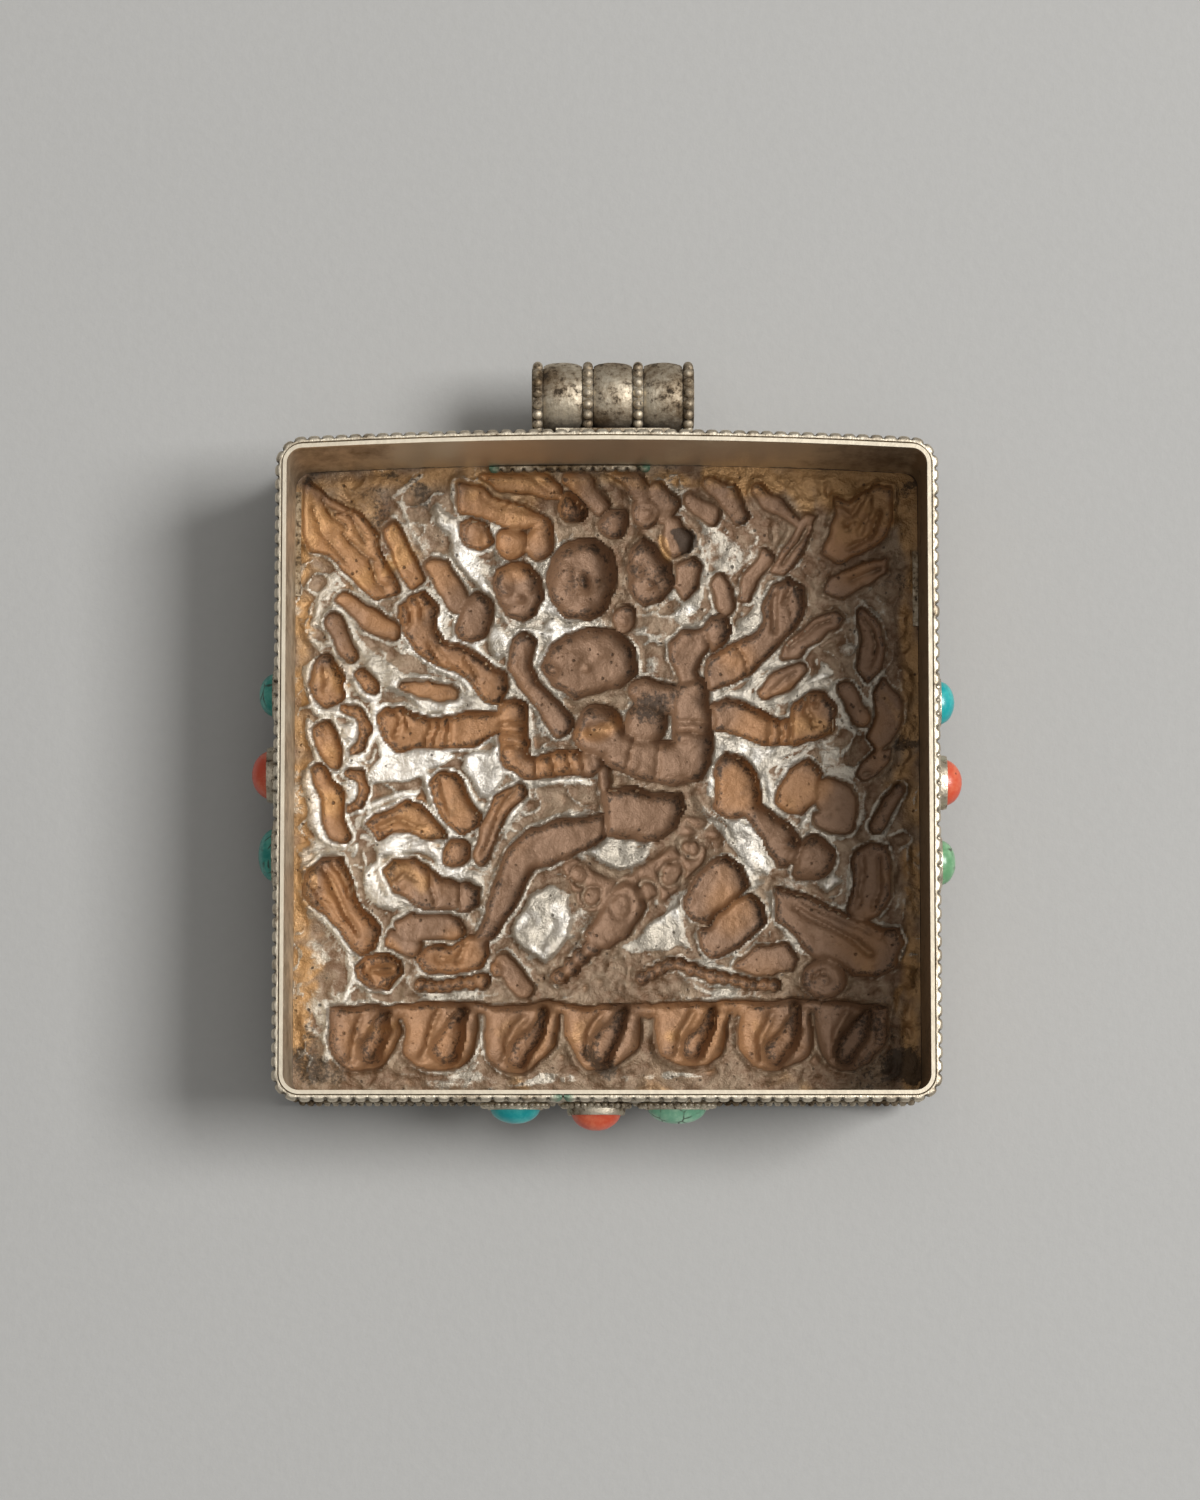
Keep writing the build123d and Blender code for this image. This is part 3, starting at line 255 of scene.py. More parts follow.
# Ground left standing and rubbed bright, drawn by its outline: height, how bright, corners
PATCHES = [
    (0.8, 1, [(-23.2, 35.2), (-21.6, 36.8), (-20.2, 34.4), (-18.6, 30), (-16, 27.2), (-15.3, 25.5),
              (-16.6, 25.1), (-18.6, 27), (-20.8, 30.4), (-21.6, 33.4)]),
    (0.8, 1, [(-15.6, 21.2), (-14.2, 21), (-12.8, 19), (-13, 16.8), (-14.4, 16), (-15.8, 17),
              (-16.2, 19.2)]),
    (0.45, 0.9, [(-29.8, 8.2), (-28.8, 6), (-27, 4.3), (-24.6, 4.5), (-21, 4.4), (-19.8, 3.6), (-21.2, 2.2),
                 (-23.2, 1.4), (-23.4, -0.4), (-25, 0.4), (-27, -0.2), (-29, 0.2), (-31, -0.6),
                 (-31.6, 1.6), (-30.2, 3.6), (-30.6, 6)]),
    (0.8, 1, [(-19.2, 3.8), (-17.4, 4.6), (-14.4, 4.4), (-13.6, 2.4), (-13, 0.8), (-14, -0.8), (-16, -2.6),
              (-17.4, -1.8), (-18.6, 0.4), (-19.6, 2)]),
    (0.5, 1, [(-13, 1), (-10.4, 0.2), (-7, 0.1), (-2, 0.7), (-2, 0), (-6, -0.8), (-8, -1.2), (-10.6, -1),
              (-12.4, -0.4)]),
    (0.6, 1, [(-30.2, -8.2), (-27, -7.4), (-24.4, -7.2), (-22.8, -8.4), (-23, -9.8), (-25.2, -9.2),
              (-27.2, -9.6), (-29.8, -10)]),
    (0.5, 0.8, [(-32.6, -12), (-31.2, -10.2), (-30.2, -12.4), (-29.2, -14.8), (-26.8, -16.4),
                (-28.2, -17.8), (-30.4, -17), (-31.8, -15)]),
    (0.6, 1, [(-39.8, 1), (-38.7, 0.2), (-38.1, -3.6), (-37.6, -6.4), (-35.8, -8.4), (-38, -8),
              (-39.3, -5.6)]),
    (0.15, 0.5, [(-39.6, -15), (-37, -18.6), (-34, -22.4), (-33.6, -26), (-35.4, -29), (-37, -32),
                 (-39, -32), (-40.2, -28), (-40.2, -20)]),
    (1, 0.75, [(-12.8, -20.4), (-12, -17.6), (-10.4, -14.6), (-8, -13.2), (-6, -14.4), (-4.6, -17.4),
               (-4.6, -20), (-6, -22.6), (-8, -24.6), (-9.8, -23.6), (-11.6, -22)]),
    (0.7, 1, [(-35.7, 8), (-34, 8.1), (-32.9, 6.6), (-33.4, 5.2), (-34.8, 5.6), (-35.7, 6.8)]),
    (0.6, 1, [(-35.8, 0.2), (-34.2, 0.4), (-33, -1), (-33.4, -2.4), (-35, -2.2)]),
    (0.5, 0.9, [(-35, 20.2), (-33.6, 19.8), (-31, 17.4), (-28, 15.2), (-26.6, 13.6), (-27.4, 12.2),
                (-29.6, 13), (-32, 15.4), (-34, 18)]),
    (0.5, 0.9, [(-25.8, 15.2), (-23, 13.2), (-20, 12), (-17, 10.6), (-14.6, 10.4), (-15, 9.6), (-18, 9.7),
                (-22, 9.3), (-24.8, 9.4), (-26.2, 11.6)]),
    (0.7, 1, [(-33.7, 13.8), (-32.8, 13.6), (-32, 11.8), (-30, 11.2), (-29.6, 10.3), (-31.6, 10),
              (-33.3, 11.3)]),
    (0.5, 0.9, [(-9.2, 20.6), (-8, 22.2), (-6.6, 22.2), (-5, 21.2), (-3, 21.7), (-0.6, 21.7), (-1, 20.9),
                (-4.4, 20.6)]),
    (0.3, 0.55, [(12.6, 34.4), (15.4, 34.2), (17.4, 33.4), (18.6, 32.4), (20.6, 32.6), (19.8, 30.6),
                 (17.8, 28.2), (16.4, 27.2), (14.6, 27.6), (13.2, 28.4), (12.6, 31)]),
    (0.4, 0.7, [(4.4, 22), (6.6, 22.8), (9, 23), (10.4, 25), (12.6, 27), (13.4, 26), (12.6, 23.6),
                (10.6, 22.2), (7, 21.8)]),
    (0.5, 0.8, [(17.4, 21.6), (19, 22.6), (20.4, 25.4), (21, 25.2), (21.1, 22.2), (20, 20.6), (18.6, 19.8),
                (17, 19.6)]),
    (0.4, 0.75, [(13.6, 12.4), (15.6, 11.8), (18, 13), (19.8, 14.8), (22.4, 15.8), (24.8, 16.2), (21, 13.6),
                 (20, 12.2), (21.4, 10.6), (18.6, 10.5), (15.8, 11.1), (14, 11)]),
    (0.4, 0.65, [(21.8, 10.4), (23.6, 11.8), (26.4, 13.8), (28, 14.6), (28.4, 17.4), (30, 15.6),
                 (30.6, 14.4), (29.6, 13.6), (27.6, 13), (25.4, 11.4), (24, 10.2)]),
    (0.4, 0.85, [(14.4, 6.5), (16, 5.8), (19, 5.2), (22.6, 5), (25.6, 5), (27.6, 5.8), (26, 4.2),
                 (23.8, 3.2), (22, 1.4), (21.5, -0.8), (22, -3.4), (20.9, -2), (20.4, 0.8), (18.6, 2.8),
                 (15.4, 3.2), (14, 1.8), (14, -1.4), (14.4, -2.8), (12.6, -1.6), (13.4, 2.4)]),
    (0.5, 0.8, [(22.9, -2.4), (22.8, -3.6), (24.6, -5.2), (25.2, -7.4), (24, -5.8), (22.4, -4)]),
    (0.5, 0.8, [(23.2, -0.4), (23.4, 1.4), (24.6, 3), (26.2, 3.6), (24.7, 1.6)]),
    (0.3, 0.65, [(27, 4.6), (28.4, 5.6), (30.4, 5), (31, 3), (33.2, 2.2), (33.6, 0.6), (32.6, -1),
                 (30.4, -0.6), (29, 0.2), (28.2, 2)]),
    (0.8, 0.75, [(-2.6, -9.2), (0, -7.8), (3, -7.9), (6, -8.1), (6, -9.5), (4.5, -11.2), (1.5, -12),
                 (-1, -10.8)]),
    (0.7, 0.8, [(15.3, -4.8), (17, -4.4), (18.6, -5.2), (19.9, -4.9), (21, -6.2), (21.6, -7.8),
                (21.6, -9.8), (22.5, -11.2), (21.4, -12.4), (19.2, -10.5), (17.2, -8.4), (15.8, -6.3)]),
    (0.8, 0.9, [(27.9, -13.6), (30.3, -11.4), (31.4, -12.8), (29.2, -14.9)]),
    (0.7, 0.9, [(25, -5.4), (26.4, -4), (27.2, -4.8), (25.8, -6.2)]),
    (0.6, 0.8, [(1.5, -21.4), (5, -18.6), (9.9, -16.4), (10.6, -18.5), (11.3, -21), (11.8, -22.6),
                (9.4, -21.8), (7.4, -22.6), (5, -22.4), (3.2, -22.6)]),
    (0.4, 0.65, [(21.8, -18), (23.4, -19.4), (26.6, -22), (27.4, -23.4), (25.8, -22.6), (23, -20.4)]),
    (0.15, 0.5, [(-27, -38), (-22, -38.6), (-17, -37.6), (-12, -38.8), (-6, -37.6), (-2, -39), (6, -37.8),
                 (12, -38.6), (26, -38.6), (18, -39.6), (0, -40), (-14, -39.8), (-27, -39.4)]),
]
# How far in from its outline such ground is at its full height
PATCH_SLOPE = 0.5
# The lip that rises along every edge: height, how far out, half width
LIP = (0.45, 0.28, 0.3)
# Raised lines, rubbed bright, by height and half width
EDGES = {
    (0.7, 0.45): [
        [(-34.6, 7.4), (-33.8, 7.2), (-33.5, 6.4), (-34.2, 5.9)],
        [(-34.3, -0.4), (-33.6, -0.6), (-33.4, -1.4), (-34, -1.9)],
    ],
    (0.8, 0.85): [[(-22.4, 36.6), (-20.8, 34.6), (-19.8, 31.6), (-17.6, 28.4), (-15.8, 26)]],
    (0.45, 0.5): [
        [(-16.4, 35.2), (-15.5, 33.8), (-16, 31.6), (-18, 30.4)],
        [(-13, 1), (-10.6, -0.4), (-6.8, -0.7), (-2, 0.2)], [(16.6, 27), (18.6, 29.4), (20.6, 33)],
        [(13.6, 12.6), (17, 13.2), (20.2, 15.2), (24.2, 17.2), (28, 19.6), (31, 20.6)],
        [(14, 11.2), (17.4, 11.6), (21, 10.4), (24.6, 11.4), (27.2, 13.6), (29.2, 14.8)],
        [(23.4, 0), (24.4, 2.6), (26.2, 3.6)],
    ],
    (0.4, 0.45): [
        [(-8.5, 31), (-8.6, 27.5), (-8.2, 24.6)], [(-36.2, 23.6), (-34.4, 21.6)],
        [(-31.8, -5.6), (-31.2, -3.4), (-27.4, -1.6), (-25.4, -1.4)],
        [(-17, -2.6), (-16.8, -4.6), (-18.4, -6.4), (-20.6, -7.4)],
        [(-32.4, -9.6), (-31.8, -12.6), (-30.2, -15.4), (-27.2, -16.6)],
        [(12.4, 32.6), (12.8, 29.6), (13.4, 27), (11.4, 23.8), (9.6, 22)],
        [(24.6, 34.4), (22, 29.6), (20.6, 26), (20, 21.6)], [(13.4, 17.4), (16, 18), (20, 20.6)],
        [(22, -11.4), (24.2, -11), (25, -9.6)], [(22, -18.4), (24.4, -20.4), (27.4, -22.8)],
        [(-26.8, -31), (-27.2, -35.4)], [(-5.8, -31.2), (-6.2, -35.2)], [(6.4, -30.8), (7.2, -33.4)],
        [(17.4, -31.2), (18.8, -36.8)],
    ],
    (0.5, 0.5): [
        [(-15.3, 24.6), (-13.6, 21.8), (-12.2, 20)],
        [(-33.4, 14.2), (-32.7, 11.8), (-31.2, 10.8), (-29.8, 11.3)],
        [(-34.4, 2.2), (-32.2, 0.8), (-31.8, -1.2), (-33, -3.2)],
    ],
    (0.45, 0.55): [
        [(-12.2, 20.2), (-8, 20.2), (-4, 20.9), (-0.6, 21.3)],
        [(-39.6, -15.4), (-37.2, -18.2), (-34, -21.8), (-33.6, -26.2), (-36, -29.6), (-37, -33.4),
         (-37.2, -36.6)],
    ],
    (0.45, 0.45): [
        [(3.8, 22), (6.6, 22.6), (8.6, 25), (9, 28)],
        [(-10, -2), (-12.8, -5), (-14.6, -8.8), (-16.4, -11.2)],
    ],
    (0.45, 0.4): [
        [(-7.5, 19.5), (-8.7, 17), (-8, 14), (-5.6, 11.2), (-3.8, 10.6), (0, 11), (3, 12.4)],
        [(-23.4, 16), (-18.6, 12)], [(8.2, 9), (8.3, 5.4), (5, 4.9), (2.8, 6.2), (2.3, 8.6), (3.6, 10.8)],
        [(9.8, -23.4), (12.4, -24), (16, -25), (21.8, -25.9)],
    ],
    (0.4, 0.4): [
        [(-19.5, 19.4), (-16.5, 16.7), (-14.5, 14.8), (-12.7, 14.4), (-12, 12.2)],
        [(-33.6, 25.5), (-30.4, 23.1)],
        [(-28.6, -20.8), (-26.8, -23), (-25.2, -24.4), (-26.2, -26.6), (-24.4, -28.2), (-19, -28.6),
         (-14, -27.6)],
        [(-7.8, -26.4), (-6.8, -27), (-5, -26.9)],
    ],
    (0.5, 0.7): [[(-34.5, 20), (-30, 16.6), (-26.2, 14.2), (-22.6, 11.2), (-18, 10.4), (-14.4, 10)]],
    (0.3, 0.4): [[(-31.4, 19.6), (-27.2, 17.4)]],
    (0.35, 0.35): [
        [(-29.4, 19.3), (-26.6, 17.7)], [(-25.8, 14.9), (-21.8, 12.6)],
        [(-24.8, -24.9), (-20, -24.8), (-16.4, -24.2)], [(-13.6, -27.6), (-12, -29)],
        [(18.8, -16.6), (17, -19)], [(4.6, -24.4), (4, -24.9)],
    ],
    (0.4, 0.5): [
        [(-36.4, 27.6), (-38.6, 24.6), (-39.2, 21)], [(34.6, -0.8), (34.2, -4), (32.4, -6.4), (30, -6.8)],
        [(37.6, 19.6), (37.8, 16.6), (36, 14)], [(38.6, 15), (39.6, 11.4), (39, 7.6), (37.4, 5.2)],
        [(33.6, 25.8), (36, 28.4), (37.8, 29.8)], [(9.6, -25.6), (11, -27.2), (15, -28.4), (20, -28.4)],
        [(0, -0.4), (5, -0.4), (8.6, -1), (10, -3), (9.4, -6.6), (6, -7.4)], [(-16.8, -30.8), (-17.4, -36)],
    ],
    (0.35, 0.4): [
        [(-29.6, 32), (-28.6, 29)], [(-9.4, 9.6), (-8.6, 6.6), (-6, 5.9), (-3.4, 6)],
        [(12.8, 33.6), (14.8, 34), (15.4, 35.2)], [(20.2, 14), (23, 15.8), (26.2, 16.4)],
        [(40, -8.4), (40, -13), (38, -17.4)], [(38.7, -19.2), (39.3, -23.2), (37.2, -26.4)],
        [(10.6, -15), (12, -12.4), (14.4, -10.6)], [(27.6, -31.4), (28.4, -35.4)],
    ],
    (0.4, 0.6): [
        [(-28.8, 37.6), (-26.8, 39.6), (-24.6, 41.2)], [(-28.2, 37), (-24.6, 31.4)],
    ],
    (0.5, 0.55): [
        [(-39.6, 19.6), (-38.4, 17.9), (-36.6, 18.2), (-35, 16.8)],
        [(-16.9, -12.4), (-17, -14.6), (-18.5, -16.8), (-18.4, -19.6)],
        [(14.6, 6.6), (14.2, 3.4), (13.4, 0.6), (11.4, -1.4)],
        [(21.4, 1.8), (22.2, -1.6), (23.6, -4.4), (25.2, -6.4), (25.2, -8.2)],
    ],
    (0.5, 0.6): [
        [(-39.7, 15.4), (-39.3, 12.2), (-38.4, 9.8), (-36, 9.2)],
        [(-39.7, 8.6), (-39.2, 5), (-38, 2.5), (-36, 1.7)],
        [(14.8, 5.2), (18, 5), (21.6, 3.4), (24, 2.2), (26.8, 4.4), (29.6, 6.6), (30.2, 9.4)],
    ],
    (0.55, 0.7): [[(-39.7, 0.6), (-38.9, -3), (-38.7, -6), (-37, -8), (-35.4, -8.8)]],
    (0.55, 0.5): [[(-34.6, 10.2), (-32.4, 8.8), (-31.6, 6.4), (-32.6, 4.8), (-34.8, 4.2)]],
    (0.55, 0.55): [[(-30.6, 9.8), (-30.8, 6.4), (-32.8, 3.2), (-35, 2.6)]],
    (0.55, 0.6): [
        [(-30.3, 9.9), (-28.8, 6), (-25.6, 3.6), (-23.6, 1), (-23.4, -2.2), (-21.4, -5.4), (-21.2, -6.6)],
        [(-30, -9.6), (-29.8, -12.6), (-28.2, -15.4), (-24.6, -16.5), (-20.4, -16.6)],
        [(11.6, -1.8), (14, -4.6), (16.6, -8), (19.4, -10.8), (22.6, -12.2), (25.6, -13.4)],
    ],
    (0.55, 0.75): [[(-30.2, -9), (-27, -7.9), (-24, -8.4), (-22.4, -10), (-21, -11.9), (-17.2, -12.3)]],
    (0.4, 0.35): [[(-23, -21.5), (-20.4, -21.4), (-18.8, -20.6)]],
    (0.35, 0.45): [
        [(36.6, 24.6), (37.7, 21.6)], [(31.6, 9.8), (30.6, 7.4), (33.4, 6.6)],
    ],
    (0.4, 0.55): [[(38.4, -2.4), (36.8, -7)]],
    (0.25, 0.3): [[(38.5, -10), (38, -13.6), (36.8, -17)]],
    (0.5, 0.45): [[(18.2, -14.9), (15.6, -17.4), (13.4, -19.8), (13, -21.6)]],
}
# Finer raised lines inside the hollows, by height and half width: bracelets, fingers, folds
CREASES = {
    (0.75, 0.3): [
        [(-23.9, 19.1), (-21.8, 15.6)], [(-22.6, 18.4), (-20.4, 14.8)], [(-23.2, 8.6), (-23.4, 5.2)],
        [(-22.2, 8.8), (-22.2, 5.2)], [(-27, 24.4), (-26.4, 22), (-26.8, 20.8)], [(23.4, 9.2), (23, 4.8)],
        [(24.8, 9.4), (24.6, 5)], [(27, 11.4), (26.4, 9.6), (27.6, 8)], [(-36.2, -11), (-34, -15)],
    ],
    (0.6, 0.25): [[(-19, 16.8), (-17.4, 13.4)]],
    (0.675, 0.3): [
        [(-21.2, 9), (-21, 5.4)], [(-25.6, 24.6), (-25, 22.4)], [(-28.6, 10.4), (-27.2, 8.8), (-27.8, 6.6)],
        [(-26.8, 9.6), (-25.8, 7.6)], [(-9.4, 4), (-9.2, 0.6)], [(-7.2, 4), (-6.8, 0.6)],
        [(-4.9, 4.4), (-4.5, 1)], [(28.6, 11.4), (27.6, 10.2)], [(24.6, 26.4), (23.6, 24.4)],
        [(-23.6, -11.8), (-23, -15.4)], [(36.6, 36.6), (34.4, 33.4), (31.6, 31.4)],
    ],
    (0.6, 0.28): [
        [(-14, 7.6), (-10.8, 7.4)], [(-14, 6.2), (-10.8, 6)], [(-13.8, 4.8), (-10.6, 4.8)],
    ],
    (0.6, 0.3): [
        [(-3.3, 4.6), (-2.9, 1.2)], [(21.8, 9.2), (21.2, 4.8)], [(17.4, 18.4), (18.8, 15.2)],
        [(-38.8, -13), (-36.6, -16.6), (-34, -20.2)], [(-19.8, -12.6), (-19.6, -15.8)],
        [(-36.6, 36.2), (-34.2, 35.2), (-32.6, 32.4)], [(-31.6, 29.4), (-30.6, 27.2), (-29.2, 26)],
        [(32.8, 35), (31.4, 33.8)], [(28.8, -24.6), (27.6, -25.6)],
    ],
    (0.9, 0.8): [[(-1.6, 7.2), (-0.4, 7)]],
    (0.525, 0.3): [
        [(3.4, 6.2), (2.6, 2)], [(7.4, 5), (6.4, 0.8)], [(9.4, 8.6), (13.6, 8.2)], [(9.4, 6.8), (13.6, 6.4)],
        [(-27.6, -13.2), (-26.4, -12), (-25.2, -12.6)], [(-37.6, 37.6), (-36.4, 35.2), (-34.4, 33.6)],
        [(-34.8, 33), (-32.4, 30.4), (-30.6, 29.2)], [(34.6, 38.6), (32.4, 35.8), (31, 36.8)],
        [(-37.6, 15.6), (-37.4, 12.6)], [(36.8, -9.6), (37, -13), (35.6, -16.6)],
        [(-12, -1.2), (-15, -4.6), (-16.6, -9)], [(26.4, 34.2), (23.4, 29.6)], [(30, 21.6), (25, 18.4)],
    ],
    (0.825, 0.4): [[(22.8, 26), (22.4, 23.4), (22.8, 20.6)]],
    (0.45, 0.28): [[(24.2, 25), (25.2, 22.6)]],
    (0.9, 0.35): [[(-37.4, -11.2), (-35.6, -15), (-33.2, -19.4)]],
    (1.35, 0.5): [[(-31, -24.8), (-28.2, -24.9)]],
    (0.75, 0.35): [[(-31.6, -23.6), (-32, -25), (-30.6, -26)]],
    (0.525, 0.35): [
        [(-30.2, -6.2), (-27.2, -4.6), (-24.6, -6)], [(-18.6, -21), (-19.6, -23.6)],
    ],
    (0.45, 0.35): [
        [(-21.6, 0.4), (-20.8, -3.4)], [(34.6, -9.4), (34.6, -13), (33.4, -16)],
    ],
    (0.45, 0.3): [
        [(-39, 36.4), (-37.6, 33.2), (-34.6, 30)], [(35.4, 38.4), (34.8, 35.8), (33.2, 33.8)],
        [(36, 28.8), (32.4, 27)], [(34.6, 22.4), (35.4, 18.8), (34.6, 15.6)],
        [(26, -15.6), (31, -17.8), (36.4, -20.4)], [(-16.8, 38.4), (-13, 37.2), (-10, 35.8)],
        [(-14, 41.4), (-10, 40.2), (-7.6, 38)], [(-3.4, 41), (-1.2, 39.6), (-0.2, 37.4)],
    ],
    (0.6, 0.35): [[(24.6, -16.6), (30, -19.4), (35, -22.4)]],
    (0.45, 0.4): [[(-22, -23.4), (-19, -23)]],
    (0.45, 0.25): [[(22.4, 12.6), (25.2, 15)]],
}
# Raised rings: middle, radius, height, half width
RINGS = [
    (8.5, -12, 1.45, 0.35, 0.35), (5.5, -14.4, 1.45, 0.35, 0.35), (2, -16.6, 1.5, 0.35, 0.35),
    (11, -8.8, 1.45, 0.35, 0.35), (-4.1, -12.2, 1.2, 0.35, 0.3), (-2.4, -14.8, 1.3, 0.35, 0.3),
    (9, -16, 1.2, 0.2, 0.3), (5.1, 35.8, 1, 0.3, 0.3), (-17.8, 33.2, 1.2, 0.3, 0.3),
    (2.4, 21.7, 0.8, 0.3, 0.3), (28.8, -25.8, 1.2, 0.3, 0.3),
]
# Ground swollen towards the back: middle, half length, half width, turn in degrees, height
PILLOWS = [
    (-35.2, 14.9, 0.9, 0.9, 0, 0.8), (17.4, -5.7, 1.7, 0.9, -30, 0.6), (20.4, -6.4, 1.4, 0.8, -40, 0.6),
    (20.9, -8.6, 1.6, 0.8, 60, 0.6), (5.8, 15.8, 1.4, 2.4, 0, 0.3), (18.4, 21.2, 1.2, 0.9, 0, 0.6),
    (31.7, 18, 1.2, 0.9, 20, 0.6), (33.9, 10.4, 0.8, 0.8, 0, 0.6), (32.2, 7.4, 1.4, 0.5, -40, 0.6),
    (34.8, 1.2, 0.7, 0.5, 40, 0.6), (-27.4, -23, 0.8, 0.6, 0, 0.3), (-31, -11.6, 1.4, 0.5, 60, 0.5),
    (-7, 21.4, 1.3, 1, 0, 0.4), (4.4, 20.6, 1.6, 0.9, 20, 0.4),
]
# Dents, most of them in the faces, plain and alike in all: middle, half width, depth
DENTS = [
    (-5.6, 27.9, 1.1, 0.5), (-1.2, 28.5, 1.2, 0.5), (-3.3, 27, 0.75, 1.6), (-3, 23.8, 1, 0.6),
    (-13.2, 26.2, 0.7, 0.45), (-10.6, 26.6, 0.7, 0.45), (-11.9, 25, 0.55, 0.7), (4.3, 28.3, 0.8, 0.45),
    (7, 28.7, 0.8, 0.45), (6, 26.8, 0.6, 0.8), (-7.4, 15.3, 0.8, 0.6), (-3.8, 17.2, 0.9, 0.4),
    (-0.6, 17.6, 0.9, 0.4), (-2, 15.8, 0.6, 0.6), (-30.3, 29.2, 0.6, 0.3), (-29.4, 27.4, 0.5, 0.3),
    (23.9, -8.4, 0.7, 0.9), (32, 34.8, 0.7, 0.5),
]
